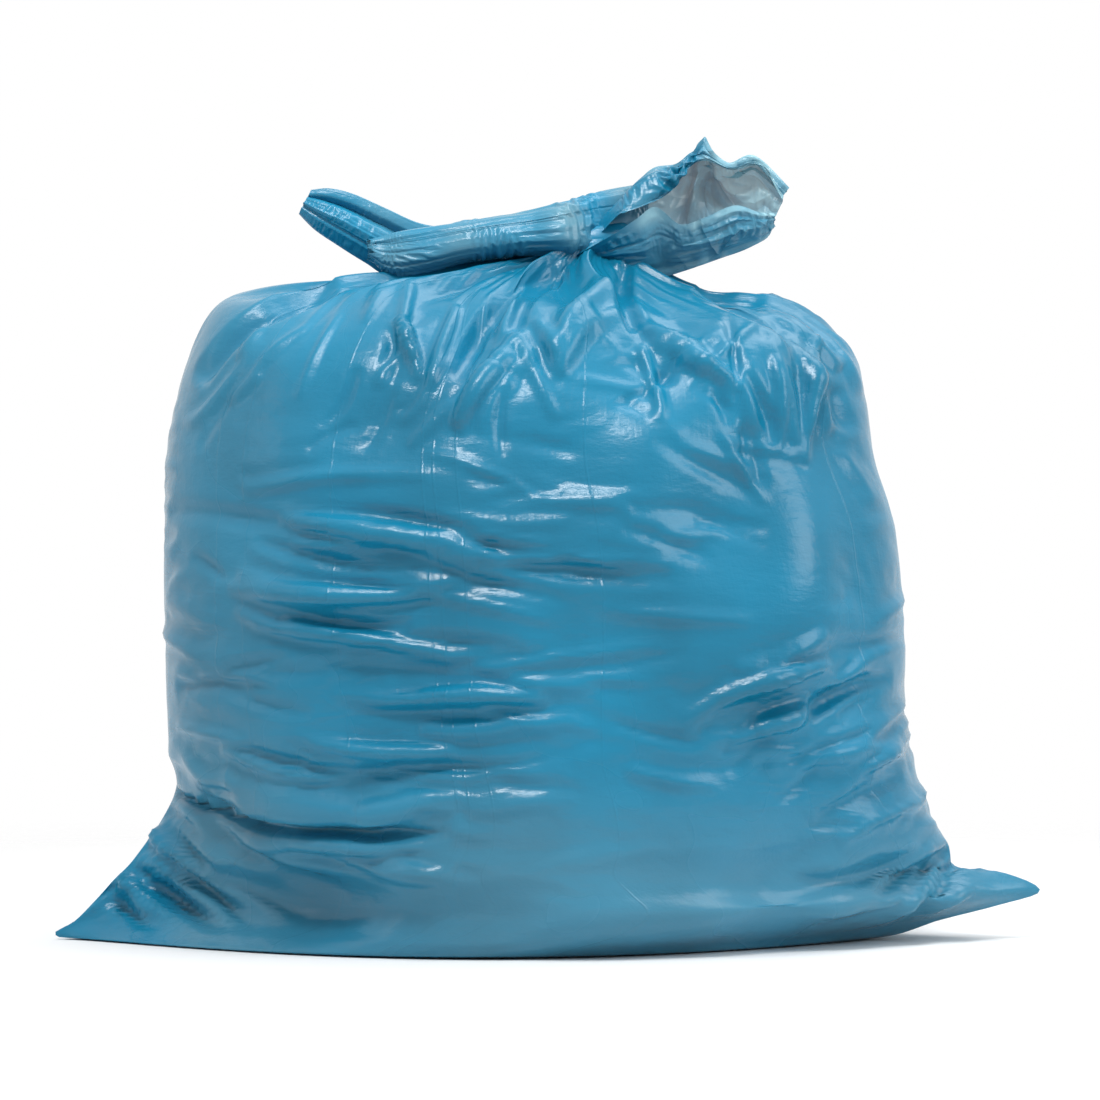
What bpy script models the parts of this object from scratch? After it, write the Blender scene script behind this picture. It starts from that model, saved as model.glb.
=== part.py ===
"""A filled garbage bag of thin plastic film, tied shut with its own mouth.

The bag is a flat film tube with one weld across its bottom. Filled, it stands as a rounded
box on a flat base, the two ends of the weld stick out as corners, the shoulders gather to a
neck, and the mouth is tied over the neck: one ear lies to the left, a rolled band crosses in
front, and the wide right ear opens like a hood. It is one piece of film, so it is one solid.

Metres, +Z up, the front towards -Y, the origin in the middle of the base.
"""

import math
from typing import NamedTuple

import bmesh
import bpy
import numpy as np
from mathutils import Matrix

# Driving dimensions of the filled body
SEAM_LENGTH = 0.689  # the bottom weld, from its left end to its right end
TIP_LIFT = 0.034  # height of the right end, which curls up off the ground
FOOT_LEFT = 0.315  # reach of the flat base to the left
FOOT_RIGHT = 0.226
FOOT_DEPTH = 0.150  # reach of the flat base to the front and to the back
WAIST_LEFT = 0.2605  # where the left corner runs into the side
WAIST_LEFT_HEIGHT = 0.107
WAIST_RIGHT = 0.2875
WAIST_RIGHT_HEIGHT = 0.0485
SIDE_LEFT = 0.267  # reach of the side walls
SIDE_RIGHT = 0.249
SIDE_HEIGHT = 0.235  # the height at which the sides are measured
BELLY_DEPTH = 0.181  # reach of the front and back walls
SHOULDER_LEFT = 0.229  # where the side wall turns over into the shoulder
SHOULDER_LEFT_HEIGHT = 0.445
SHOULDER_RIGHT = 0.205
SHOULDER_RIGHT_DROP = 0.021  # how much lower the right shoulder is than the left one
SHOULDER_RIGHT_HEIGHT = SHOULDER_LEFT_HEIGHT - SHOULDER_RIGHT_DROP
SHOULDER_DEPTH = 0.120
SHOULDER_DEPTH_DROP = 0.027  # how much lower the shoulders at the front and the back are
SHOULDER_DEPTH_HEIGHT = SHOULDER_LEFT_HEIGHT - SHOULDER_DEPTH_DROP
NECK_X = 0.030  # the neck stands a little right of the middle
NECK_RISE = 0.037  # height of the neck over the left shoulder
NECK_HEIGHT = SHOULDER_LEFT_HEIGHT + NECK_RISE
NECK_RADIUS = 0.022
SEAM_THICKNESS = 0.004  # of the flattened corners at the bottom weld

# Film folds
GATHERS = 26  # pleats that run up the shoulders into the neck
GATHER_DEPTH = 0.0075
LUMP_DEPTH = 0.005  # how far the rubbish inside pushes the film out
LUMP_SIZE = 0.160  # from one broad swelling to the next
FOLD_DEPTH = 0.011  # of a usual fold across a wall
FOLD_WIDTH = 0.015  # from the line of a usual fold to where it runs out

# The tied mouth
KNOT_WIDTH = 0.074
KNOT_THICKNESS = 0.058
KNOT_RISE = 0.062
LEFT_EAR_LENGTH = 0.202
LEFT_EAR_WIDTH = 0.040
LEFT_EAR_THICKNESS = 0.016
BAND_LENGTH = 0.212
BAND_WIDTH = 0.038
BAND_THICKNESS = 0.025
BAND_OFFSET = 0.034  # how far in front of the knot's middle it crosses
RIGHT_EAR_LENGTH = 0.136
RIGHT_EAR_WIDTH = 0.076
RIGHT_EAR_THICKNESS = 0.052
RIGHT_EAR_PEAK = 0.009  # how far the corner of the mouth stands up from the right ear

# Mesh density
SEGMENTS = 88
RINGS = 55
SLEEVE_SEGMENTS = 22
SLEEVE_RINGS = 17

FILM_COLOUR = (0.045, 0.245, 0.42, 1.0)


class Fold(NamedTuple):
    """A crease across a wall, in shares: x of the body's half width, z of the neck's height."""

    start: tuple  # (x, z) where it runs out
    end: tuple
    sag: float  # how far its middle lies above the straight line, as a share of the neck's height
    rise: float  # share of FOLD_DEPTH, above 0 for a ridge and below for a valley
    width: float  # share of FOLD_WIDTH


FRONT_FOLDS = [
    # the body slumps over the left corner in one deep fold, with a ledge below it
    Fold((-1.016, 0.224), (-0.240, 0.187), -0.025, -1.3, 1.00),
    Fold((-0.950, 0.266), (-0.271, 0.232), -0.021, 0.8, 1.47),
    Fold((-0.833, 0.149), (-0.240, 0.162), -0.008, 0.8, 1.20),
    # pleats of the left corner
    Fold((-1.016, 0.212), (-0.484, 0.075), -0.012, -0.8, 0.87),
    Fold((-1.054, 0.145), (-0.717, 0.025), -0.012, -0.9, 0.80),
    Fold((-1.016, 0.104), (-0.659, 0.017), -0.008, 0.6, 0.80),
    Fold((-1.147, 0.104), (-0.775, 0.017), -0.010, -0.8, 0.80),
    # slack across the left of the belly
    Fold((-0.795, 0.647), (-0.252, 0.668), 0.012, 0.5, 1.07),
    Fold((-0.795, 0.606), (-0.116, 0.548), 0.012, 0.8, 1.00),
    Fold((-0.775, 0.564), (-0.233, 0.519), -0.008, -0.6, 1.00),
    Fold((-0.822, 0.531), (-0.240, 0.515), -0.017, 0.7, 0.93),
    Fold((-0.736, 0.481), (-0.310, 0.461), -0.012, -0.6, 1.00),
    Fold((-0.523, 0.423), (0.329, 0.427), 0.012, -0.7, 1.13),
    Fold((-0.388, 0.357), (0.233, 0.373), 0.008, 0.5, 1.20),
    Fold((-0.814, 0.290), (-0.194, 0.290), -0.021, 0.7, 1.07),
    # slack across the right of the belly
    Fold((-0.136, 0.544), (0.388, 0.523), 0.008, -0.7, 1.07),
    Fold((0.310, 0.303), (0.736, 0.425), 0.021, 0.7, 1.20),
    Fold((0.504, 0.303), (0.911, 0.384), 0.008, -0.7, 1.00),
    Fold((0.543, 0.249), (0.950, 0.290), 0.012, 0.6, 1.07),
    # pleats of the right corner
    Fold((0.465, 0.062), (1.066, 0.149), 0.008, 0.6, 1.20),
    Fold((0.640, 0.025), (1.124, 0.100), -0.008, -0.8, 0.93),
    # creases that fall from the neck over the front shoulder
    Fold((0.039, 0.983), (-0.240, 0.772), 0.029, -1.0, 0.93),
    Fold((0.225, 0.975), (0.271, 0.820), -0.012, -1.0, 0.87),
    Fold((0.202, 0.905), (0.023, 0.793), 0.012, 0.9, 0.93),
    Fold((0.380, 0.946), (0.717, 0.834), 0.008, -0.9, 0.93),
    Fold((-0.523, 0.944), (-0.946, 0.772), 0.021, -1.0, 0.93),
    Fold((0.574, 0.882), (0.690, 0.685), 0.008, 0.7, 0.93),
]
BACK_FOLDS = [
    Fold((-0.930, 0.245), (-0.155, 0.203), -0.021, -1.0, 1.07),
    Fold((0.116, 0.191), (0.950, 0.270), -0.025, -1.1, 1.07),
    Fold((-1.047, 0.149), (-0.698, 0.025), -0.010, -0.9, 0.87),
    Fold((0.756, 0.029), (1.105, 0.145), -0.010, -0.9, 0.87),
    Fold((-0.775, 0.643), (-0.078, 0.602), 0.012, 0.7, 1.07),
    Fold((-0.736, 0.564), (0.039, 0.544), -0.012, -0.7, 1.07),
    Fold((0.078, 0.622), (0.795, 0.660), -0.017, 0.7, 1.13),
    Fold((-0.620, 0.448), (0.465, 0.469), 0.017, -0.7, 1.20),
    Fold((-0.349, 0.365), (0.736, 0.344), -0.017, 0.7, 1.20),
    Fold((-0.814, 0.311), (-0.233, 0.328), 0.012, 0.6, 1.07),
    Fold((-0.213, 0.975), (0.116, 0.780), 0.021, -1.0, 0.93),
    Fold((-0.465, 0.944), (-0.814, 0.820), 0.012, -0.9, 0.93),
    Fold((0.233, 0.959), (0.736, 0.830), 0.017, -0.9, 0.93),
    Fold((-0.233, 0.892), (-0.465, 0.705), 0.008, 0.8, 1.00),
]


def clear_scene():
    """Remove every object that the file holds."""
    for thing in list(bpy.data.objects):
        bpy.data.objects.remove(thing, do_unlink=True)


def film_material():
    """Glossy blue polythene film."""
    material = bpy.data.materials.new("blue_film")
    material.use_nodes = True
    shader = material.node_tree.nodes["Principled BSDF"]
    shader.inputs["Base Color"].default_value = FILM_COLOUR
    shader.inputs["Roughness"].default_value = 0.22
    shader.inputs["Metallic"].default_value = 0.0
    return material


def smooth_step(value, low, high):
    """0 below low, 1 above high, and an S-shaped rise between them."""
    share = np.clip((value - low) / (high - low), 0.0, 1.0)
    return share * share * (3.0 - 2.0 * share)


def through(stations, at):
    """A smooth curve through the stations, read at places given in station numbers."""
    stations = np.asarray(stations, float)
    last = len(stations) - 1
    i = np.clip(np.floor(at).astype(int), 0, last - 1)
    f = (at - i)[:, None]
    before, here = stations[np.maximum(i - 1, 0)], stations[i]
    there, after = stations[i + 1], stations[np.minimum(i + 2, last)]
    slope_in, slope_out = (there - before) / 2, (after - here) / 2
    return (
        here * (1 - 3 * f**2 + 2 * f**3)
        + there * (3 * f**2 - 2 * f**3)
        + slope_in * (f - 2 * f**2 + f**3)
        + slope_out * (f**3 - f**2)
    )


def between(low, high, share):
    """The value that lies that share of the way from low to high."""
    return low + (high - low) * share


def left_rail():
    """Outline of the left side, as (reach, height) from the middle of the base to the neck."""
    tip = SEAM_LENGTH / 2
    waist, side, top = WAIST_LEFT_HEIGHT, SIDE_HEIGHT, SHOULDER_LEFT_HEIGHT
    corner = []
    for share in (0.12, 0.25, 0.38, 0.52, 0.77):
        corner.append((between(tip, WAIST_LEFT, 1 - (1 - share) ** 1.5), waist * share))
    return [
        (0.0, 0.0),
        (FOOT_LEFT / 2, 0.0),
        (FOOT_LEFT, 0.0),
        (tip, 0.03 * waist),
        *corner,
        (WAIST_LEFT, waist),
        (0.989 * SIDE_LEFT, between(waist, side, 0.22)),
        (0.996 * SIDE_LEFT, between(waist, side, 0.58)),
        (SIDE_LEFT, side),
        (0.996 * SIDE_LEFT, between(side, top, 0.24)),
        (0.989 * SIDE_LEFT, between(side, top, 0.48)),
        (0.963 * SIDE_LEFT, between(side, top, 0.68)),
        (between(SHOULDER_LEFT, SIDE_LEFT, 0.42), between(side, top, 0.87)),
        (SHOULDER_LEFT, top),
        (0.895 * SHOULDER_LEFT, between(top, NECK_HEIGHT, 0.20)),
        (0.66 * SHOULDER_LEFT, between(top, NECK_HEIGHT, 0.28)),
        (0.40 * SHOULDER_LEFT, between(top, NECK_HEIGHT, 0.40)),
        (0.14 * SHOULDER_LEFT, between(top, NECK_HEIGHT, 0.66)),
        (NECK_RADIUS - NECK_X, NECK_HEIGHT),
    ]


def right_rail():
    """Outline of the right side. Its corner curls up, so it first runs out to the lifted tip."""
    tip = SEAM_LENGTH / 2
    waist, side, top = WAIST_RIGHT_HEIGHT, SIDE_HEIGHT, SHOULDER_RIGHT_HEIGHT
    return [
        (0.0, 0.0),
        (FOOT_RIGHT / 2, 0.0),
        (FOOT_RIGHT, 0.0),
        (between(FOOT_RIGHT, tip, 0.41), 0.38 * TIP_LIFT),
        (between(FOOT_RIGHT, tip, 0.75), 0.68 * TIP_LIFT),
        (tip, TIP_LIFT),
        (between(WAIST_RIGHT, tip, 0.52), 0.96 * waist),
        (WAIST_RIGHT, waist),
        (between(SIDE_RIGHT, WAIST_RIGHT, 0.78), between(waist, side, 0.09)),
        (between(SIDE_RIGHT, WAIST_RIGHT, 0.48), between(waist, side, 0.22)),
        (between(SIDE_RIGHT, WAIST_RIGHT, 0.20), between(waist, side, 0.40)),
        (between(SIDE_RIGHT, WAIST_RIGHT, 0.02), between(waist, side, 0.62)),
        (SIDE_RIGHT, between(waist, side, 0.95)),
        (0.970 * SIDE_RIGHT, between(side, top, 0.26)),
        (0.912 * SIDE_RIGHT, between(side, top, 0.53)),
        (0.884 * SIDE_RIGHT, between(side, top, 0.76)),
        (1.056 * SHOULDER_RIGHT, between(side, top, 0.90)),
        (SHOULDER_RIGHT, top),
        (0.854 * SHOULDER_RIGHT, between(top, NECK_HEIGHT, 0.28)),
        (0.61 * SHOULDER_RIGHT, between(top, NECK_HEIGHT, 0.49)),
        (0.41 * SHOULDER_RIGHT, between(top, NECK_HEIGHT, 0.64)),
        (NECK_X + 1.36 * NECK_RADIUS, between(top, NECK_HEIGHT, 0.80)),
        (NECK_X + NECK_RADIUS, NECK_HEIGHT),
    ]


def front_rail():
    """Outline of the front wall, and of the back wall too."""
    side, top = SIDE_HEIGHT, SHOULDER_DEPTH_HEIGHT
    wall = (
        (0.912, 0.026), (0.945, 0.072), (0.967, 0.128), (0.978, 0.187), (0.989, 0.243),
        (0.994, 0.323), (1.0, 0.426), (1.0, 0.557), (0.994, 0.732), (0.989, 0.974),
    )  # fmt: skip
    return [
        (0.0, 0.0),
        (FOOT_DEPTH / 2, 0.0),
        (FOOT_DEPTH, 0.0),
        *((reach * BELLY_DEPTH, height * side) for reach, height in wall),
        (0.978 * BELLY_DEPTH, between(side, top, 0.26)),
        (0.950 * BELLY_DEPTH, between(side, top, 0.51)),
        (0.884 * BELLY_DEPTH, between(side, top, 0.72)),
        (between(SHOULDER_DEPTH, BELLY_DEPTH, 0.38), between(side, top, 0.87)),
        (SHOULDER_DEPTH, top),
        (0.78 * SHOULDER_DEPTH, between(top, NECK_HEIGHT, 0.31)),
        (0.57 * SHOULDER_DEPTH, between(top, NECK_HEIGHT, 0.56)),
        (0.39 * SHOULDER_DEPTH, between(top, NECK_HEIGHT, 0.78)),
        (1.36 * NECK_RADIUS, between(top, NECK_HEIGHT, 0.92)),
        (0.8 * NECK_RADIUS, NECK_HEIGHT),
    ]


# How pointed each ring is: the power on the sine, over 1 for a lens that ends in two corners
# and under 1 for a rounded box. The welded bottom is a lens and the belly a rounded box.
POINTEDNESS = [
    1.2, 1.4, 2.0, 3.0, 3.2, 3.2, 3.0, 2.2, 1.6, 1.2, 1.0, 0.9,
    0.85, 0.85, 0.85, 0.85, 0.9, 0.95, 1.0, 1.0, 1.0, 1.0, 1.0,
]  # fmt: skip
# How narrowly the left and right outlines rule the height of a ring: high round the corners
CORNER_HOLD = [2, 2, 8, 8, 8, 8, 8, 7, 5, 3, 2, 2, 2, 2, 2, 2, 2, 2, 2, 2, 2, 2, 2]


def even_angles():
    """Angles that space the points of a ring evenly round the belly."""
    fine = np.linspace(0.0, 2 * math.pi, 2001)
    x, y = SIDE_LEFT * np.cos(fine), BELLY_DEPTH * np.sin(fine)
    length = np.concatenate([[0.0], np.cumsum(np.hypot(np.diff(x), np.diff(y)))])
    wanted = np.arange(SEGMENTS) / SEGMENTS * length[-1]
    return np.interp(wanted, length, fine)


def even_rings():
    """Station numbers that space the rings evenly up the front wall, closer on the shoulders."""
    fine = np.linspace(0.0, len(POINTEDNESS) - 1, 1500)
    rail = (through(front_rail(), fine) + through(left_rail(), fine)) / 2
    step = np.hypot(*np.diff(rail, axis=0).T)
    step = step * np.where(through(front_rail(), fine)[1:, 1] < 0.001 * NECK_HEIGHT, 0.45, 1.0)
    length = np.concatenate([[0.0], np.cumsum(step)])
    return np.interp(np.arange(1, RINGS + 1) / RINGS * length[-1], length, fine)


def body_skin():
    """The smooth body as rings of points, lofted through the four outlines."""
    at = even_rings()
    left, right, front = (through(r(), at) for r in (left_rail, right_rail, front_rail))
    power = through(np.array(POINTEDNESS)[:, None], at)
    hold = through(np.array(CORNER_HOLD, float)[:, None], at)
    angle = even_angles()[None, :]
    cos, sin = np.cos(angle), np.sin(angle)
    across = np.sign(cos) * np.abs(cos) ** np.minimum(1.0, 0.5 + power / 2)
    deep = np.abs(sin) ** power
    middle = (right[:, :1] - left[:, :1]) / 2
    half = (right[:, :1] + left[:, :1]) / 2
    x = middle + half * across
    y = np.sign(sin) * (front[:, :1] * deep + SEAM_THICKNESS / 2 * np.abs(sin) ** 0.4)
    side_pull = np.abs(cos) ** hold
    side_pull = side_pull / (side_pull + np.abs(sin) ** 2)
    side_height = np.where(cos > 0, right[:, 1:], left[:, 1:])
    z = front[:, 1:] + (side_height - front[:, 1:]) * side_pull
    return np.stack([x, y, np.maximum(z, 0.0)], axis=2), at


def outward(skin):
    """Unit normals of a grid of rings that closes round each ring."""
    around = np.roll(skin, -1, axis=1) - np.roll(skin, 1, axis=1)
    up = np.gradient(skin, axis=0)
    normal = np.cross(around, up)
    return normal / np.maximum(np.linalg.norm(normal, axis=2, keepdims=True), 1e-9)


def crease(x, z, fold):
    """How far one fold moves the film at (x, z): sharp along its line, gone at both ends."""
    half_width = (SIDE_LEFT + SIDE_RIGHT) / 2
    x0, z0 = fold.start[0] * half_width, fold.start[1] * NECK_HEIGHT
    dx, dz = fold.end[0] * half_width - x0, fold.end[1] * NECK_HEIGHT - z0
    length = math.hypot(dx, dz)
    along = np.clip(((x - x0) * dx + (z - z0) * dz) / length**2, 0.0, 1.0)
    off = ((z - z0) * dx - (x - x0) * dz) / length * np.sign(dx)
    off = off - 4 * fold.sag * NECK_HEIGHT * along * (1 - along)
    across = np.maximum(0.0, 1 - np.abs(off) / (fold.width * FOLD_WIDTH))
    return fold.rise * FOLD_DEPTH * across**1.3 * np.sin(math.pi * along) ** 0.6


def gathers(angle, at):
    """Pleats that start on the shoulders and run together at the neck."""
    dice = np.random.default_rng(5)
    share = smooth_step(at, 15.0, 18.5) * (1 - 0.75 * smooth_step(at, 20.0, 22.0))
    total = np.zeros((len(at), len(angle)))
    for k in range(GATHERS):
        place = (k + dice.uniform(-0.32, 0.32)) * 2 * math.pi / GATHERS
        height = dice.uniform(0.45, 1.0) * (1 if k % 2 else -0.8)
        width = 2 * math.pi / GATHERS * dice.uniform(0.55, 0.85)
        start = dice.uniform(0.0, 1.8)
        off = np.abs((angle - place + math.pi) % (2 * math.pi) - math.pi)
        ridge = np.maximum(0.0, 1 - off / width) ** 1.2
        reach = share * smooth_step(at, 15.0 + start, 18.0 + start)
        total += height * reach[:, None] * ridge[None, :]
    return GATHER_DEPTH * total


def lumps(skin):
    """Slow swellings where rubbish presses on the film, gone at both sides."""
    dice = np.random.default_rng(11)
    total = np.zeros(skin.shape[:2])
    for share in (1.0, 0.81, 0.63, 0.53):
        for _ in range(3):
            way = dice.normal(size=3)
            way = way / np.linalg.norm(way) * 2 * math.pi / (share * LUMP_SIZE)
            total += share * np.sin(skin @ way + dice.uniform(0, 2 * math.pi))
    reach = np.abs(skin[:, :, 0]) / (SIDE_LEFT + SIDE_RIGHT) * 2
    return LUMP_DEPTH * total / 2.6 * (1 - 0.85 * smooth_step(reach, 0.70, 0.96))


def body_rings():
    """The body with its folds: the smooth skin moved along its normals."""
    skin, at = body_skin()
    normal = outward(skin)
    angle = even_angles()
    front = smooth_step(-skin[:, :, 1] / BELLY_DEPTH, 0.0, 0.17)
    back = smooth_step(skin[:, :, 1] / BELLY_DEPTH, 0.0, 0.17)
    height = skin[:, :, 2] / NECK_HEIGHT
    move = np.zeros(skin.shape[:2])
    for fold in FRONT_FOLDS:
        move += front * crease(skin[:, :, 0], skin[:, :, 2], fold)
    for fold in BACK_FOLDS:
        move += back * crease(skin[:, :, 0], skin[:, :, 2], fold)
    move += lumps(skin)
    reach = np.abs(skin[:, :, 0]) / (SIDE_LEFT + SIDE_RIGHT) * 2
    corner = 1 - 0.75 * smooth_step(reach, 1.015, 1.16)
    move = move * smooth_step(height, 0.004, 0.062) * corner
    move += gathers(angle, at) * smooth_step(height, 0.62, 0.75)
    skin = skin + normal * move[:, :, None]
    skin[:, :, 2] = np.maximum(skin[:, :, 2], 0.0)
    return skin


def loft(name, rings, start, end):
    """A closed mesh through rings of points, with a fan to one point at each end."""
    bottom = bmesh.new()
    loops = [[bottom.verts.new(point) for point in ring] for ring in rings]
    first, last = bottom.verts.new(start), bottom.verts.new(end)
    count = len(loops[0])
    for k in range(count):
        after = (k + 1) % count
        bottom.faces.new((first, loops[0][after], loops[0][k]))
        bottom.faces.new((last, loops[-1][k], loops[-1][after]))
        for low, high in zip(loops, loops[1:]):
            bottom.faces.new((low[k], low[after], high[after], high[k]))
    bmesh.ops.recalc_face_normals(bottom, faces=bottom.faces)
    mesh = bpy.data.meshes.new(name)
    bottom.to_mesh(mesh)
    bottom.free()
    thing = bpy.data.objects.new(name, mesh)
    bpy.context.scene.collection.objects.link(thing)
    return thing


def garbage_body():
    """The filled body, closed under the base and inside the neck."""
    rings = body_rings()
    top = rings[-1].mean(axis=0)
    return loft("garbage_bag", rings, (0.0, 0.0, 0.0), (top[0], top[1], NECK_HEIGHT + NECK_RADIUS / 7))


def sleeve_rings(path, half_widths, half_depths, shape):
    """Rings of a flattened film sleeve along a path. shape(turn, along) gives a ring's form."""
    at = np.linspace(0.0, len(path) - 1, SLEEVE_RINGS)
    line = through(path, at)
    wide = through(np.array(half_widths)[:, None], at)
    deep = through(np.array(half_depths)[:, None], at)
    ahead = np.gradient(line, axis=0)
    ahead = ahead / np.linalg.norm(ahead, axis=1, keepdims=True)
    across = np.stack([-ahead[:, 2], np.zeros(len(at)), ahead[:, 0]], axis=1)
    across = across / np.linalg.norm(across, axis=1, keepdims=True)
    toward = np.cross(ahead, across)
    turn = np.arange(SLEEVE_SEGMENTS) / SLEEVE_SEGMENTS * 2 * math.pi
    along = np.linspace(0.0, 1.0, len(at))[:, None]
    w, d = shape(turn[None, :], along)
    return (
        line[:, None, :]
        + across[:, None, :] * (wide * w)[:, :, None]
        + toward[:, None, :] * (deep * d)[:, :, None]
    )


def sleeve(name, rings):
    """One closed film sleeve. It only helps to build the bag, so it stays out of the render."""
    thing = loft(name, rings, rings[0].mean(axis=0), rings[-1].mean(axis=0))
    thing.hide_render = True
    thing.display_type = "WIRE"
    return thing


def left_ear():
    """The left ear: a flat sleeve that rises to the left, folded along its middle."""
    root = np.array([NECK_X + 0.2 * NECK_RADIUS, 0.0, NECK_HEIGHT - 0.3 * NECK_RADIUS])
    run = np.array(
        [(0, 0, 0), (-0.332, 0.050, 0.045), (-0.590, 0.059, 0.055), (-0.755, 0.050, 0.096),
         (-0.880, 0.020, 0.150), (-0.990, 0, 0.196)]
    )  # fmt: skip
    half_widths = LEFT_EAR_WIDTH / 2 * np.array([0.55, 0.66, 0.90, 1.02, 0.92, 0.55])
    half_depths = LEFT_EAR_THICKNESS / 2 * np.array([1.2, 1.1, 1.0, 1.0, 0.85, 0.40])

    def folded(turn, along):
        groove = 1 - 0.95 * np.exp(-((np.cos(turn) - 0.12) ** 2) / 0.05) * smooth_step(along, 0.2, 0.5)
        deep = np.sin(turn) * np.where(np.sin(turn) > 0, groove, 1.0)
        return np.cos(turn) * (1 + 0 * along), deep

    path = root + run * LEFT_EAR_LENGTH
    return sleeve("left_ear_form", sleeve_rings(path, half_widths, half_depths, folded))


def band():
    """The rolled mouth that crosses in front of the neck and rises to the right."""
    root = np.array([NECK_X + 0.3 * NECK_RADIUS, -BAND_OFFSET, NECK_HEIGHT + NECK_RADIUS])
    run = np.array(
        [(-0.741, 0.038, -0.115), (-0.656, 0.019, -0.115), (-0.491, 0, -0.092),
         (-0.325, -0.009, -0.066), (-0.165, -0.009, -0.042), (0, 0, 0),
         (0.132, 0.047, 0.039), (0.236, 0.104, 0.082)]
    )  # fmt: skip
    half_widths = BAND_WIDTH / 2 * np.array([0.52, 0.78, 0.71, 0.68, 0.84, 1.16, 1.24, 0.90])
    half_depths = BAND_THICKNESS / 2 * np.array([0.35, 0.8, 0.9, 0.96, 1.04, 1.2, 1.2, 0.8])

    def rolled(turn, along):
        loose = 1 - smooth_step(along, 0.45, 0.65)
        ruffle = 1 + loose * (0.10 * np.cos(5 * turn + 4 * along) + 0.06 * np.cos(9 * turn - 7 * along))
        return np.cos(turn) * ruffle, np.sin(turn) * ruffle

    path = root + run * BAND_LENGTH
    return sleeve("band_form", sleeve_rings(path, half_widths, half_depths, rolled))


def right_ear():
    """The right ear: the mouth spread like a hood, hollow towards the front, with one peak."""
    root = np.array([NECK_X + 0.2 * NECK_RADIUS, 0.0, NECK_HEIGHT - 0.36 * NECK_RADIUS])
    run = np.array(
        [(0, 0, 0), (0.221, -0.029, 0.179), (0.426, -0.044, 0.246),
         (0.581, -0.044, 0.288), (0.762, -0.029, 0.308), (0.949, 0, 0.342)]
    )  # fmt: skip
    half_widths = RIGHT_EAR_WIDTH / 2 * np.array([0.30, 0.80, 0.96, 1.00, 0.84, 0.40])
    half_depths = RIGHT_EAR_THICKNESS / 2 * np.array([0.45, 0.75, 1.0, 1.05, 0.85, 0.45])

    def hooded(turn, along):
        pleat = 1 + 0.10 * np.cos(7 * turn + 2.5 * along) * smooth_step(along, 0.25, 0.50)
        facing = np.maximum(0.0, np.sin(turn)) ** 0.6
        hollow = smooth_step(along, 0.25, 0.60) * (1 - smooth_step(along, 0.78, 0.98))
        mouth = 1 - 1.25 * facing * hollow
        peak = 2 * RIGHT_EAR_PEAK / RIGHT_EAR_WIDTH * np.maximum(0.0, np.cos(turn)) ** 12
        peak = peak * np.exp(-(((along - 0.62) / 0.10) ** 2))
        return np.cos(turn) + peak, np.sin(turn) * pleat * mouth

    path = root + run * RIGHT_EAR_LENGTH
    return sleeve("right_ear_form", sleeve_rings(path, half_widths, half_depths, hooded))


def knot():
    """The tight knot over the neck, which the ears and the band leave."""
    turn = np.arange(SLEEVE_SEGMENTS) / SLEEVE_SEGMENTS * 2 * math.pi
    rings = []
    for k in range(1, 8):
        tilt = math.pi * k / 8
        x = NECK_X + KNOT_WIDTH / 8 + KNOT_WIDTH / 2 * np.cos(turn) * math.sin(tilt)
        y = -KNOT_THICKNESS / 8 + KNOT_THICKNESS / 2 * np.sin(turn) * math.sin(tilt)
        z = NECK_HEIGHT + KNOT_RISE / 10 - KNOT_RISE / 2 * math.cos(tilt)
        rings.append(np.stack([x, y, np.full_like(turn, z)], axis=1))
    return sleeve("knot_form", rings)


def join(bag, form):
    """Make a form one with the bag."""
    union = bag.modifiers.new(form.name, "BOOLEAN")
    union.operation = "UNION"
    union.solver = "EXACT"
    union.object = form


def centre_on_base(bag, forms):
    """Move everything so that the middle of the bag's base is the origin."""
    points = np.array([vertex.co for vertex in bag.data.vertices])
    middle = (points.min(axis=0) + points.max(axis=0)) / 2
    for thing in (bag, *forms):
        thing.data.transform(Matrix.Translation((-middle[0], -middle[1], 0.0)))
        thing.data.update()


def main():
    """Build the bag."""
    clear_scene()
    bag = garbage_body()
    forms = [knot(), left_ear(), band(), right_ear()]
    centre_on_base(bag, forms)
    for form in forms:
        join(bag, form)
    bag.data.materials.append(film_material())
    bag.data.shade_smooth()


main()
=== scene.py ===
"""A filled garbage bag of blue film, tied with its own mouth, with its studio, as an add-on.

The bag is one film: a slumped body on a flat base, pleats that run together at the neck, and
the tied mouth on top, with a flat left ear, a rolled band across the front and a wide right
ear that opens like a hood. Metres, +Z up, the front towards -Y.
"""

import math

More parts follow.
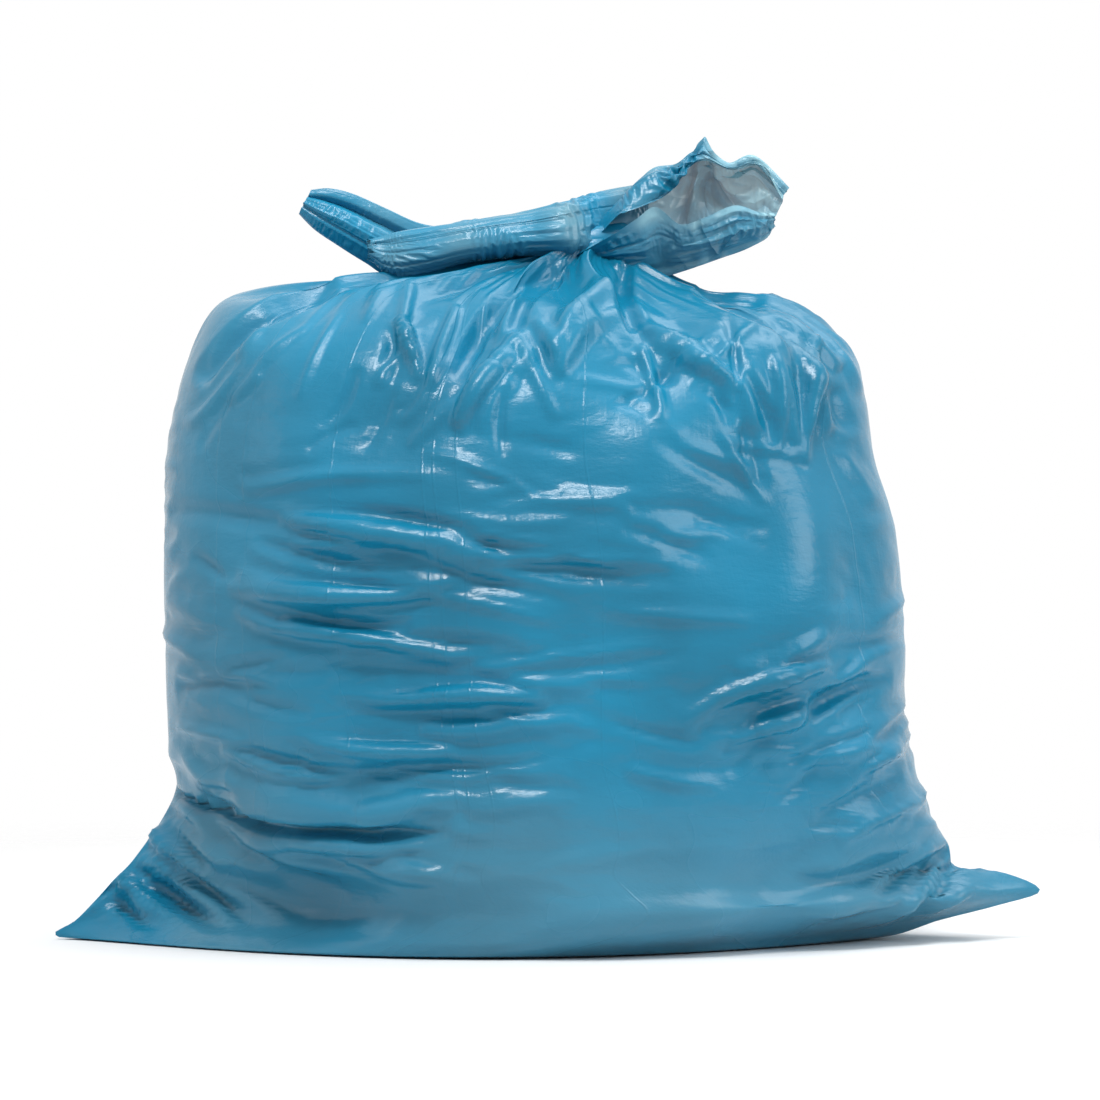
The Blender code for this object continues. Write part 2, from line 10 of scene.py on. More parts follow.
import bpy
import numpy as np
from bpy.props import FloatProperty, FloatVectorProperty, PointerProperty
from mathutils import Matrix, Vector

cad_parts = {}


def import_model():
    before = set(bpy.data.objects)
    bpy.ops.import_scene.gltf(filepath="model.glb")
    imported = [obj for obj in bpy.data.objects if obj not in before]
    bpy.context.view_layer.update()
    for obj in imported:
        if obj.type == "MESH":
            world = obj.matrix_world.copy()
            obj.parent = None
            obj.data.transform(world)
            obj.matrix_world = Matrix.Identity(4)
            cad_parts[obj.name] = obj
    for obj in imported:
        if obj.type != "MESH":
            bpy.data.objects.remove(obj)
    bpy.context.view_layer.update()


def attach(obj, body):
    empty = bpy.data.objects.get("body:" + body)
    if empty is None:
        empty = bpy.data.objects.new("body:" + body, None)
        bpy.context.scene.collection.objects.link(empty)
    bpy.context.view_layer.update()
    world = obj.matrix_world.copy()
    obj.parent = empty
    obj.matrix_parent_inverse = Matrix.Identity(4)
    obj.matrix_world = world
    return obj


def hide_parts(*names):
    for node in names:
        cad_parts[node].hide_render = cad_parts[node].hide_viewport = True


bl_info = {
    "name": "Garbage Bag",
    "version": (1, 0, 0),
    "blender": (4, 5, 0),
    "location": "View3D > Sidebar > Bag",
    "description": "A filled, tied garbage bag of thin film, and a studio to show it in",
    "category": "Add Mesh",
}

NODE = "garbage_bag"

# Columns and rows of the film's grids. For settle, the columns are a multiple of four, and the
# rows are one more than a multiple of four.
BODY_GRID = (420, 229)
LEFT_EAR_GRID = (120, 161)
BAND_GRID = (152, 281)
WRAP_GRID = (64, 121)
HOOD_GRID = (280, 181)

# Driving dimensions of the filled body, as in the solid
SEAM_LENGTH = 0.689
TIP_LIFT = 0.034
FOOT_LEFT = 0.315
FOOT_RIGHT = 0.226
FOOT_DEPTH = 0.150
WAIST_LEFT = 0.2605
WAIST_LEFT_HEIGHT = 0.107
WAIST_RIGHT = 0.2875
WAIST_RIGHT_HEIGHT = 0.0485
SIDE_LEFT = 0.267
SIDE_RIGHT = 0.249
SIDE_HEIGHT = 0.235
BELLY_DEPTH = 0.181
SHOULDER_LEFT = 0.229
SHOULDER_LEFT_HEIGHT = 0.445
SHOULDER_RIGHT = 0.205
SHOULDER_RIGHT_HEIGHT = SHOULDER_LEFT_HEIGHT - 0.021
SHOULDER_DEPTH = 0.120
SHOULDER_DEPTH_HEIGHT = SHOULDER_LEFT_HEIGHT - 0.027
NECK_X = 0.030
NECK_HEIGHT = SHOULDER_LEFT_HEIGHT + 0.037
NECK_RADIUS = 0.022

# Half width and half depth of the belly, and the height where it is measured
BELLY = (0.262, BELLY_DEPTH)
BELLY_HEIGHT = 0.24
# Pleats round the neck
PLEATS = 26
# Slow swellings: size of the greatest and how far they stand out
LUMP_SIZE = 0.160
LUMP_RISE = 0.005
# Shares of each fold's height laid on before the film settles, and after
CREST_BEFORE = 0.5
CREST_AFTER = 0.65
# How far the settling film may go in and out from its form
FILM_INNER = 0.002
FILM_OUTER = 0.004
# Power on the sine of each ring: over 1 for a lens with corners, under 1 for a rounded box
POINTED = np.array(
    [1.2, 1.4, 2.0, 3.0, 3.2, 3.2, 3.0, 2.2, 1.6, 1.2, 1.0, 0.9, 0.85, 0.85, 0.85, 0.85, 0.9,
     0.95, 1.0, 1.0, 1.0, 1.0, 1.0]
)  # fmt: skip
# How narrowly the side outlines rule the height of a ring
HOLD = np.array([2, 2, 8, 8, 8, 8, 8, 7, 5, 3, 2, 2, 2, 2, 2, 2, 2, 2, 2, 2, 2, 2, 2.0])

# Lamps: name, place, aim, width, height and power
SOFTBOXES = [
    ("key", (-0.12, -1.15, 1.9), (0.0, 0.0, 0.35), 0.75, 0.34, 22.0),
    ("top", (0.10, -0.55, 2.2), (0.03, 0.0, 0.40), 0.45, 0.30, 9.0),
    ("over", (0.7, 0.5, 2.2), (0.0, 0.0, 0.4), 1.2, 1.0, 11.0),
    ("right", (1.9, -0.9, 1.3), (0.0, 0.0, 0.3), 1.1, 1.3, 17.0),
    ("left", (-1.9, -0.7, 1.0), (0.0, 0.0, 0.3), 0.35, 1.2, 1.5),
]

# Folds across a wall, in millimetres: x and z of both ends, sag of the middle, rise, half width
FRONT_FOLDS = [
    # Round the slump over the left corner
    (-262, 107, -62, 89, -13, -14, 11),
    (-250, 124, -75, 104, -12, 7, 16),
    (-205, 80, -70, 86, -3, 7, 11),
    (-248, 99, -135, 40, -10, -6, 8),
    (-268, 70, -195, 12, -6, -7, 7),
    (-256, 62, -170, 20, -4, 5, 8),
    (-288, 50, -200, 9, -6, -6, 6),
    (-300, 38, -225, 6, -4, 4, 6),
    # Across the left of the belly
    (-205, 312, -75, 320, 5, 2.5, 7),
    (-182, 291, -30, 265, 7, 6.5, 9),
    (-198, 279, -65, 251, -3, -4, 7),
    (-210, 256, -64, 248, -9, 6, 9),
    (-176, 233, -90, 222, -4, -4, 7),
    (-130, 206, -15, 206, 4, -4, 9),
    (-84, 174, -15, 177, 2, 4, 8),
    (-160, 143, -60, 139, -4, 6, 9),
    (-208, 139, -132, 127, -3, -5, 7),
    (-126, 101, -56, 111, 0, 5, 8),
    (-150, 113, -44, 128, 5, -4, 8),
    (-30, 259, 84, 253, 3, -5, 9),
    # Rising to the right side
    (122, 191, 186, 216, -3, 5, 9),
    (86, 150, 166, 190, 10, 4, 9),
    (137, 154, 181, 168, 1, 7, 8),
    (167, 157, 235, 186, 4, -8, 8),
    (148, 128, 241, 137, 3, 5, 10),
    (148, 44, 258, 66, 8, 4, 12),
    (165, 12, 290, 46, -4, -7, 9),
    (200, 18, 300, 50, -3, 4, 8),
    # Down from the neck over the shoulders
    (8, 470, -61, 384, 12, -11, 10),
    (12, 472, -22, 411, 7, -6, 8),
    (53, 469, 69, 414, -7, -8, 9),
    (49, 433, 8, 387, 6, 6, 9),
    (9, 387, -9, 423, 2, 5, 8),
    (102, 454, 178, 407, 3, -8, 10),
    (-146, 454, -238, 386, 12, -10, 10),
    (-102, 425, -90, 397, 0, 5, 8),
    (-4, 408, -46, 350, 4, 5, 9),
    (70, 411, 117, 384, 4, 5, 9),
    (147, 412, 172, 333, 4, 6, 9),
    (173, 402, 178, 350, 3, 5, 8),
    # Long sharp crests on the belly that catch the light
    (-170, 290, -45, 263, 3, 6, 7.5),
    (-215, 247, -85, 243, -4, 6.2, 8),
    (-210, 232, -138, 212, -3, 4.8, 6.5),
    (-175, 226, -65, 208, -4, 5.5, 6.5),
    (-110, 172, 0, 174, 2, 5, 6.5),
    (-165, 134, -102, 130, -2, 5.5, 6),
    (-222, 139, -145, 119, -3, 4.5, 6),
    (-132, 94, -60, 102, 1, 5, 6.5),
    (-170, 78, -82, 77, -4, 6.5, 7),
    (-120, 58, -60, 60, -2, 3.5, 6),
    (112, 170, 190, 196, 4, 6, 8),
    (120, 142, 175, 160, 2, 6, 8),
    # Sharp crests on the shoulders
    (178, 330, 186, 420, 2, 5, 6),
    (85, 400, 130, 378, 3, 5.5, 6.5),
    (4, 398, 44, 452, 4, 11, 12),
    (-62, 352, -12, 416, 4, 9, 11),
    (58, 424, 108, 396, 4, 8, 10),
    (160, 424, 196, 352, 4, 8, 9),
    (146, 446, 205, 398, 3, 6, 7),
    (62, 414, 78, 360, 2, 5, 6),
    (-100, 425, -85, 385, 2, 5.5, 6),
    (-60, 440, -78, 380, 2, 5.5, 6),
    (-22, 400, -60, 352, 3, 6, 7),
    (150, 398, 160, 340, 2, 5.5, 6),
    # Fan towards the right corner
    (196, 73, 256, 99, 3, 5.5, 6),
    (186, 90, 244, 117, 3, -5, 6),
    (206, 120, 247, 135, 2, 5, 5.5),
    (226, 12, 276, 58, -3, 6, 5.5),
    (243, 10, 284, 52, -3, -5.5, 5),
    (212, 36, 268, 66, 2, 5, 5.5),
    (262, 18, 318, 46, 2, 4.5, 5),
    # Fan of pleats in the left corner
    (-330, 16, -262, 48, 3, 4.5, 5),
    (-312, 36, -262, 8, -3, -5.5, 5),
    (-298, 46, -240, 10, -3, 5.5, 5),
    (-290, 56, -222, 12, -4, -6, 5.5),
    (-280, 64, -205, 16, -4, 5.5, 5.5),
    (-325, 18, -275, 5, -2, -4.5, 4.5),
]
BACK_FOLDS = [
    (-240, 118, -40, 98, -10, -12, 12),
    (30, 92, 245, 130, -12, -13, 12),
    (-270, 72, -180, 12, -5, -8, 9),
    (195, 14, 285, 70, -5, -8, 9),
    (-200, 310, -20, 290, 6, 6, 11),
    (-190, 272, 10, 262, -6, -6, 11),
    (20, 300, 205, 318, -8, 6, 12),
    (-160, 216, 120, 226, 8, -6, 12),
    (-90, 176, 190, 166, -8, 6, 12),
    (-210, 150, -60, 158, 6, 6, 11),
    (-55, 470, 30, 376, 10, -10, 11),
    (-120, 455, -210, 395, 6, -9, 11),
    (60, 462, 190, 400, 8, -9, 11),
    (-60, 430, -120, 340, 4, 7, 11),
]

# Folds on the inside of the right ear, over its rows and columns from 0 to 1, rises in metres
HOOD_FOLDS = [
    (0.600, 0.78, 0.660, 0.52, 0.020, 0.0060, 0.035),
    (0.640, 0.78, 0.840, 0.56, -0.040, -0.0055, 0.030),
    (0.610, 0.76, 0.520, 0.52, -0.020, -0.0050, 0.030),
    (0.680, 0.62, 0.950, 0.70, 0.030, 0.0055, 0.030),
    (0.450, 0.60, 0.760, 0.50, 0.040, 0.0050, 0.032),
    (0.740, 0.74, 0.930, 0.60, -0.030, 0.0045, 0.026),
    (0.450, 0.10, 0.900, 0.13, 0.020, 0.0030, 0.040),
]
# Where the creases of the rolled bag run up the front, as x at the belly
ROLL_CREASES = [-0.225, -0.207, -0.146, -0.077, -0.070, -0.052, 0.038, 0.212]
# The deep fold where the body slumps over the left corner, as x, z and the share of its depth
SLUMP_LINE = [
    (-0.290, 0.112, 0.0), (-0.262, 0.108, 0.6), (-0.235, 0.100, 1.0), (-0.190, 0.092, 1.0),
    (-0.150, 0.089, 0.8), (-0.100, 0.089, 0.55), (-0.055, 0.086, 0.0),
]  # fmt: skip
# Where small creases lie on the front: x, z, spread of both, angle in degrees, its spread, count,
# least and greatest length, half width and height
CREASE_ZONES = [
    (-0.120, 0.255, 0.080, 0.045, -8, 6, 18, 0.055, 0.130, 0.0075, 0.0040),
    (0.000, 0.215, 0.090, 0.070, -3, 7, 30, 0.045, 0.110, 0.0062, 0.0026),
    (-0.130, 0.160, 0.080, 0.040, -5, 8, 16, 0.050, 0.110, 0.0070, 0.0034),
    (0.060, 0.300, 0.080, 0.035, -14, 9, 14, 0.040, 0.090, 0.0065, 0.0024),
    (0.185, 0.175, 0.045, 0.045, 24, 10, 20, 0.030, 0.080, 0.0064, 0.0036),
    (0.215, 0.105, 0.040, 0.040, 16, 14, 18, 0.030, 0.065, 0.0060, 0.0030),
    (-0.150, 0.095, 0.060, 0.025, -12, 8, 12, 0.045, 0.100, 0.0066, 0.0034),
    (-0.260, 0.050, 0.030, 0.024, -40, 9, 16, 0.035, 0.085, 0.0060, 0.0050),
    (-0.308, 0.022, 0.014, 0.010, -34, 8, 9, 0.030, 0.055, 0.0050, 0.0042),
    (0.270, 0.040, 0.026, 0.016, 30, 12, 12, 0.025, 0.060, 0.0052, 0.0026),
    (-0.225, 0.180, 0.025, 0.060, -38, 16, 12, 0.025, 0.055, 0.0060, 0.0022),
    (-0.190, 0.385, 0.040, 0.035, 48, 12, 10, 0.030, 0.080, 0.0060, 0.0028),
    (0.160, 0.370, 0.045, 0.035, -62, 14, 16, 0.030, 0.080, 0.0064, 0.0036),
    (0.040, 0.395, 0.060, 0.025, -10, 45, 16, 0.025, 0.070, 0.0062, 0.0030),
    (-0.060, 0.395, 0.045, 0.030, 62, 20, 14, 0.025, 0.070, 0.0060, 0.0030),
]


class BagSizes(bpy.types.PropertyGroup):
    """Sizes and colours of the bag."""

    slack: FloatProperty(
        name="Slack", description="How much longer the film is than what it covers", default=0.06,
        min=0.0, max=0.3,
    )  # fmt: skip
    pleat_depth: FloatProperty(
        name="Pleat Depth", description="Depth of the pleats round the neck", default=0.0075,
        unit="LENGTH",
    )  # fmt: skip
    film_colour: FloatVectorProperty(
        name="Film", description="Colour of the film over the rubbish", subtype="COLOR",
        default=(0.005, 0.188, 0.326), min=0.0, max=1.0,
    )  # fmt: skip
    pale_colour: FloatVectorProperty(
        name="Single Film", description="Colour of one thin layer with light behind it",
        subtype="COLOR", default=(0.17, 0.30, 0.34), min=0.0, max=1.0,
    )  # fmt: skip


# Curves and fields


def smooth_step(value, low, high):
    """0 below low, 1 above high, and 3t^2 - 2t^3 between."""
    share = np.clip((value - low) / (high - low), 0.0, 1.0)
    return share * share * (3.0 - 2.0 * share)


def through(stations, at):
    """A Catmull-Rom curve through the stations, read at places given in station numbers."""
    stations = np.asarray(stations, float)
    last = len(stations) - 1
    i = np.clip(np.floor(at).astype(int), 0, last - 1)
    f = (at - i)[:, None]
    before, here = stations[np.maximum(i - 1, 0)], stations[i]
    there, after = stations[i + 1], stations[np.minimum(i + 2, last)]
    slope_in, slope_out = (there - before) / 2, (after - here) / 2
    return (
        here * (1 - 3 * f**2 + 2 * f**3)
        + there * (3 * f**2 - 2 * f**3)
        + slope_in * (f - 2 * f**2 + f**3)
        + slope_out * (f**3 - f**2)
    )


def waves(points, sizes, seed, each=4):
    """Sum of sines of the position, several for each wave length, scaled to about -1 to 1."""
    dice = np.random.default_rng(seed)
    total = np.zeros(points.shape[:-1])
    weight = 0.0
    for size in sizes:
        for _ in range(each):
            way = dice.normal(size=3)
            way = way / np.linalg.norm(way) * 2 * math.pi / size
            total += size * np.sin(points @ way + dice.uniform(0, 2 * math.pi))
        weight += size * size * each / 2
    return total / (2.2 * math.sqrt(weight))


def outward(skin):
    """Unit normals of a grid of rings that closes round each ring."""
    around = np.roll(skin, -1, axis=1) - np.roll(skin, 1, axis=1)
    normal = np.cross(around, np.gradient(skin, axis=0))
    return normal / np.maximum(np.linalg.norm(normal, axis=2, keepdims=True), 1e-9)


# The film settles: it is a little longer than what it covers, so it buckles into creases


def stretch(film, rest, steps):
    """One round of moves that bring every edge of the grid towards its rest length."""
    move = np.zeros_like(film)
    for (di, dj), length in zip(steps, rest):
        a = film[: film.shape[0] - di]
        b = np.roll(film, -dj, axis=1)[di:]
        edge = b - a
        now = np.sqrt(np.einsum("ijk,ijk->ij", edge, edge)) + 1e-12
        push = edge * (0.5 * (1.0 - length / now))[..., None]
        move[: film.shape[0] - di] += push
        move[di:] -= np.roll(push, dj, axis=1)
    return move


def ripple(field):
    """The difference of every point from the mean of its four neighbours."""
    up = np.concatenate([field[:1], field[:-1]])
    down = np.concatenate([field[1:], field[-1:]])
    return (up + down + np.roll(field, 1, axis=1) + np.roll(field, -1, axis=1)) / 4 - field


def finer(field):
    """A field of half the spacing: the old points, and cubic midpoints along both ways."""
    wide = np.empty((field.shape[0], field.shape[1] * 2, field.shape[2]))
    wide[:, ::2] = field
    near = field + np.roll(field, -1, axis=1)
    far = np.roll(field, 1, axis=1) + np.roll(field, -2, axis=1)
    wide[:, 1::2] = near * 9 / 16 - far / 16
    tall = np.empty((field.shape[0] * 2 - 1, wide.shape[1], field.shape[2]))
    tall[::2] = wide
    before = np.concatenate([wide[:1], wide[:-2]])
    after = np.concatenate([wide[2:], wide[-1:]])
    tall[1::2] = (wide[:-1] + wide[1:]) * 9 / 16 - (before + after) / 16
    return tall


def settle(target, slack, free, inner, outer, rounds, seed, bend=0.02, hold=0.0006, grip=0.002):
    """Buckle a film that covers target.

    slack is a list of (share, way): along the unit vector way the film is longer than the
    target by that share. Each edge of the grid has the rest length |e|(1 + sum share (e.way)^2).
    Each round speeds the points towards those lengths, against the sharpest ripple, which is
    the second difference of the second difference, and against a pull back to the target, and
    nine tenths of the speed last into the next round. The film may stand out from its target
    by outer and in by inner. It runs on every fourth point, then on every second, then on all.
    """
    dice = np.random.default_rng(seed)
    steps = [(0, 1), (1, 0), (1, 1), (1, -1)]
    shift = None
    for level, count, part_of_slack in zip((4, 2, 1), rounds, (0.35, 0.7, 1.0)):
        base = target[::level, ::level]
        normal = outward(base)
        loose = free[::level, ::level, None]
        low, high = inner[::level, ::level], outer[::level, ::level]
        rest = []
        for di, dj in steps:
            edge = np.roll(base, -dj, axis=1)[di:] - base[: base.shape[0] - di]
            length = np.linalg.norm(edge, axis=2)
            grow = np.zeros_like(length)
            for share, way in slack:
                part = share[::level, ::level][: base.shape[0] - di]
                turned = way[::level, ::level][: base.shape[0] - di]
                grow += part * (np.einsum("ijk,ijk->ij", edge, turned) / (length + 1e-12)) ** 2
            rest.append(length * (1.0 + part_of_slack * grow))
        shift = np.zeros_like(base) if shift is None else finer(shift)
        spread = 0.0006 if level == 4 else 0.00012
        shift = shift + normal * dice.normal(0.0, spread, base.shape[:2])[..., None] * loose
        speed = np.zeros_like(base)
        for _ in range(count):
            out = np.einsum("ijk,ijk->ij", shift, normal)[..., None] * normal
            pull = 0.22 * stretch(base + shift, rest, steps)
            pull -= bend * ripple(ripple(shift)) + hold * out + grip * (shift - out)
            speed = (0.9 * speed + pull) * loose
            shift = shift + speed
            out = np.einsum("ijk,ijk->ij", shift, normal)
            over = out - np.clip(out, -low, high)
            shift = shift - over[..., None] * normal
    return target + shift


# The body


def between(low, high, share):
    """The value that lies that share of the way from low to high."""
    return low + (high - low) * share


def left_rail():
    """Outline of the left side, as (reach, height) from the middle of the base to the neck.

    The outlines are given to a tenth of a millimetre.
    """
    tip = SEAM_LENGTH / 2
    waist, side, top = WAIST_LEFT_HEIGHT, SIDE_HEIGHT, SHOULDER_LEFT_HEIGHT
    steps = ((0.829, 0.12), (0.664, 0.25), (0.512, 0.38), (0.337, 0.52), (0.11, 0.77))
    corner = [(between(WAIST_LEFT, tip, out), waist * up) for out, up in steps]
    stations = [
        (0.0, 0.0),
        (0.5016 * FOOT_LEFT, 0.0),
        (FOOT_LEFT, 0.0),
        (tip, 0.03 * waist),
        *corner,
        (WAIST_LEFT, waist),
        (0.989 * SIDE_LEFT, between(waist, side, 0.219)),
        (0.996 * SIDE_LEFT, between(waist, side, 0.578)),
        (SIDE_LEFT, side),
        (0.996 * SIDE_LEFT, between(side, top, 0.238)),
        (0.989 * SIDE_LEFT, between(side, top, 0.481)),
        (0.963 * SIDE_LEFT, between(side, top, 0.681)),
        (between(SHOULDER_LEFT, SIDE_LEFT, 0.42), between(side, top, 0.8715)),
        (SHOULDER_LEFT, top),
        (0.895 * SHOULDER_LEFT, between(top, NECK_HEIGHT, 0.20)),
        (0.6595 * SHOULDER_LEFT, between(top, NECK_HEIGHT, 0.28)),
        (0.40 * SHOULDER_LEFT, between(top, NECK_HEIGHT, 0.40)),
        (0.14 * SHOULDER_LEFT, between(top, NECK_HEIGHT, 0.66)),
        (NECK_RADIUS - NECK_X, NECK_HEIGHT),
    ]
    return np.round(stations, 4)


def right_rail():
    """Outline of the right side. Its corner curls up, so it first runs out to the lifted tip."""
    tip = SEAM_LENGTH / 2
    waist, side, top = WAIST_RIGHT_HEIGHT, SIDE_HEIGHT, SHOULDER_RIGHT_HEIGHT
    stations = [
        (0.0, 0.0),
        (FOOT_RIGHT / 2, 0.0),
        (FOOT_RIGHT, 0.0),
        (between(FOOT_RIGHT, tip, 0.41), 0.38 * TIP_LIFT),
        (between(FOOT_RIGHT, tip, 0.75), 0.68 * TIP_LIFT),
        (tip, TIP_LIFT),
        (between(WAIST_RIGHT, tip, 0.52), 0.96 * waist),
        (WAIST_RIGHT, waist),
        (between(SIDE_RIGHT, WAIST_RIGHT, 0.78), between(waist, side, 0.09)),
        (between(SIDE_RIGHT, WAIST_RIGHT, 0.48), between(waist, side, 0.22)),
        (between(SIDE_RIGHT, WAIST_RIGHT, 0.20), between(waist, side, 0.40)),
        (between(SIDE_RIGHT, WAIST_RIGHT, 0.02), between(waist, side, 0.62)),
        (SIDE_RIGHT, between(waist, side, 0.95)),
        (0.970 * SIDE_RIGHT, between(side, top, 0.26)),
        (0.912 * SIDE_RIGHT, between(side, top, 0.53)),
        (0.884 * SIDE_RIGHT, between(side, top, 0.76)),
        (1.056 * SHOULDER_RIGHT, between(side, top, 0.90)),
        (SHOULDER_RIGHT, top),
        (0.854 * SHOULDER_RIGHT, between(top, NECK_HEIGHT, 0.28)),
        (0.61 * SHOULDER_RIGHT, between(top, NECK_HEIGHT, 0.49)),
        (0.4102 * SHOULDER_RIGHT, between(top, NECK_HEIGHT, 0.64)),
        (NECK_X + 1.36 * NECK_RADIUS, between(top, NECK_HEIGHT, 0.80)),
        (NECK_X + NECK_RADIUS, NECK_HEIGHT),
    ]
    return np.round(stations, 4)


def front_rail():
    """Outline of the front wall, and of the back wall too."""
    side, top = SIDE_HEIGHT, SHOULDER_DEPTH_HEIGHT
    wall = (
        (0.912, 0.026), (0.945, 0.072), (0.967, 0.128), (0.978, 0.187), (0.989, 0.243),
        (0.994, 0.323), (1.0, 0.426), (1.0, 0.557), (0.994, 0.732), (0.989, 0.974),
    )  # fmt: skip
    stations = [
        (0.0, 0.0),
        (FOOT_DEPTH / 2, 0.0),
        (FOOT_DEPTH, 0.0),
        *((reach * BELLY_DEPTH, height * side) for reach, height in wall),
        (0.978 * BELLY_DEPTH, between(side, top, 0.26)),
        (0.950 * BELLY_DEPTH, between(side, top, 0.51)),
        (0.884 * BELLY_DEPTH, between(side, top, 0.72)),
        (between(SHOULDER_DEPTH, BELLY_DEPTH, 0.38), between(side, top, 0.87)),
        (SHOULDER_DEPTH, top),
        (0.78 * SHOULDER_DEPTH, between(top, NECK_HEIGHT, 0.31)),
        (0.57 * SHOULDER_DEPTH, between(top, NECK_HEIGHT, 0.56)),
        (0.39 * SHOULDER_DEPTH, between(top, NECK_HEIGHT, 0.78)),
        (1.36 * NECK_RADIUS, between(top, NECK_HEIGHT, 0.92)),
        (0.8 * NECK_RADIUS, NECK_HEIGHT),
    ]
    return np.round(stations, 4)


def body_grid(columns, rows):
    """Angles and station numbers of the body's grid, closer together on the front."""
    fine = np.linspace(0.0, 2 * math.pi, 4001)
    x, y = BELLY[0] * np.cos(fine), BELLY[1] * np.sin(fine)
    step = np.hypot(np.diff(x), np.diff(y)) * np.where(np.sin(fine[1:]) < 0.15, 1.35, 0.68)
    length = np.concatenate([[0.0], np.cumsum(step)])
    angle = np.interp(np.arange(columns) / columns * length[-1], length, fine)
    place = np.linspace(0.0, len(POINTED) - 1, 3000)
    front = through(front_rail(), place)
    rail = (front + through(left_rail(), place)) / 2
    step = np.hypot(*np.diff(rail, axis=0).T)
    step = step * np.where(front[1:, 1] < 0.0005, 0.3, 1.0)
    length = np.concatenate([[0.0], np.cumsum(step)])
    at = np.interp((np.arange(rows) + 1) / rows * length[-1], length, place)
    return angle, at


def body_skin(angle, at):
    """The smooth body: rings lofted up four outlines.

    On a ring x = m + h sgn(c)|c|^q and y = sgn(s)(d|s|^p + 2 mm |s|^0.4), with c and s the cosine
    and sine of the angle. Its height goes from the front's to the side's as |c| nears 1.
    """
    left, right, front = (through(rail(), at) for rail in (left_rail, right_rail, front_rail))
    power = through(POINTED[:, None], at)
    hold = through(HOLD[:, None], at)
    cos, sin = np.cos(angle)[None, :], np.sin(angle)[None, :]
    across = np.sign(cos) * np.abs(cos) ** np.minimum(1.0, 0.5 + power / 2)
    x = (right[:, :1] - left[:, :1]) / 2 + (right[:, :1] + left[:, :1]) / 2 * across
    y = np.sign(sin) * (front[:, :1] * np.abs(sin) ** power + 0.002 * np.abs(sin) ** 0.4)
    pull = np.abs(cos) ** hold
    pull = pull / (pull + np.abs(sin) ** 2)
    side = np.where(cos > 0, right[:, 1:], left[:, 1:])
    z = front[:, 1:] + (side - front[:, 1:]) * pull
    return np.stack([x, y, np.maximum(z, 0.0)], axis=2)


def crease(x, z, fold):
    """One fold: rise (1 - |off|/w)^1.1 sin(pi t)^0.6, t along its line and off across it."""
    x0, z0, x1, z1, sag, rise, half_width = fold
    dx, dz = x1 - x0, z1 - z0
    length = math.hypot(dx, dz)
    along = np.clip(((x - x0) * dx + (z - z0) * dz) / length**2, 0.0, 1.0)
    off = ((z - z0) * dx - (x - x0) * dz) / length * np.sign(dx)
    off = off - 4 * sag * along * (1 - along)
    across = np.maximum(0.0, 1 - np.abs(off) / half_width)
    return rise * across**1.1 * np.sin(math.pi * along) ** 0.6


def scattered_creases(x, z, zones, seed):
    """Short creases strewn over the zones, each with a narrow crest that tapers to both ends."""
    dice = np.random.default_rng(seed)
    total = np.zeros_like(x)
    for at_x, at_z, wide, tall, angle, turn, count, short, long, half_width, rise in zones:
        for k in range(count):
            way = math.radians(angle + turn * dice.normal())
            length = dice.uniform(short, long)
            mid_x, mid_z = at_x + wide * dice.uniform(-1.4, 1.4), at_z + tall * dice.uniform(-1.4, 1.4)
            reach = length / 2 * np.array([math.cos(way), math.sin(way)])
            height = rise * dice.uniform(0.35, 1.0) * (1 if k % 2 else -1)
            ends = (mid_x - reach[0], mid_z - reach[1], mid_x + reach[0], mid_z + reach[1])
            sag = length * dice.normal(0.0, 0.03)
            total += crease(x, z, (*ends, sag, height, half_width * dice.uniform(0.7, 1.3)))
    return total


def tuck(skin, line, deep, lip, wide):
    """A deep fold along a line of (x, z, share): the film above sags over it, that below backs off.

    With off the height over the line, the film above moves down by lip (1 - off/2w)^2 and out by
    0.45 of that, and the film near the line goes in by deep (1 - |off + 0.3w|/w)^1.5.
    """
    line = np.array(line)
    x, z = skin[..., 0], skin[..., 2]
    off = z - np.interp(x, line[:, 0], line[:, 1])
    share = np.interp(x, line[:, 0], line[:, 2]) * smooth_step(-skin[..., 1], 0.0, 0.02)
    above = share * np.clip(1 - off / (2 * wide), 0.0, 1.0) ** 2 * smooth_step(off, -0.2 * wide, 0.1 * wide)
    inside = share * np.clip(1 - np.abs(off + 0.3 * wide) / wide, 0.0, 1.0) ** 1.5
    move = outward(skin) * (0.45 * lip * above - deep * inside)[..., None]
    move[..., 2] -= lip * above
    return skin + move


def gathers(angle, at):
    """Pleats round the neck: (1 - |off|/w)^1.2 of the angle off each pleat, grown up the shoulder."""
    dice = np.random.default_rng(5)
    share = smooth_step(at, 15.0, 18.5) * (1 - 0.75 * smooth_step(at, 20.0, 22.0))
    total = np.zeros((len(at), len(angle)))
    pitch = 2 * math.pi / PLEATS
    for k in range(PLEATS):
        place = (k + dice.uniform(-0.32, 0.32)) * pitch
        height = dice.uniform(0.45, 1.0) * (1 if k % 2 else -0.8)
        width = pitch * dice.uniform(0.55, 0.85)
        start = dice.uniform(0.0, 1.8)
        off = np.abs((angle - place + math.pi) % (2 * math.pi) - math.pi)
        ridge = np.maximum(0.0, 1 - off / width) ** 1.2
        total += height * (share * smooth_step(at, 15.0 + start, 18.0 + start))[:, None] * ridge
    return total


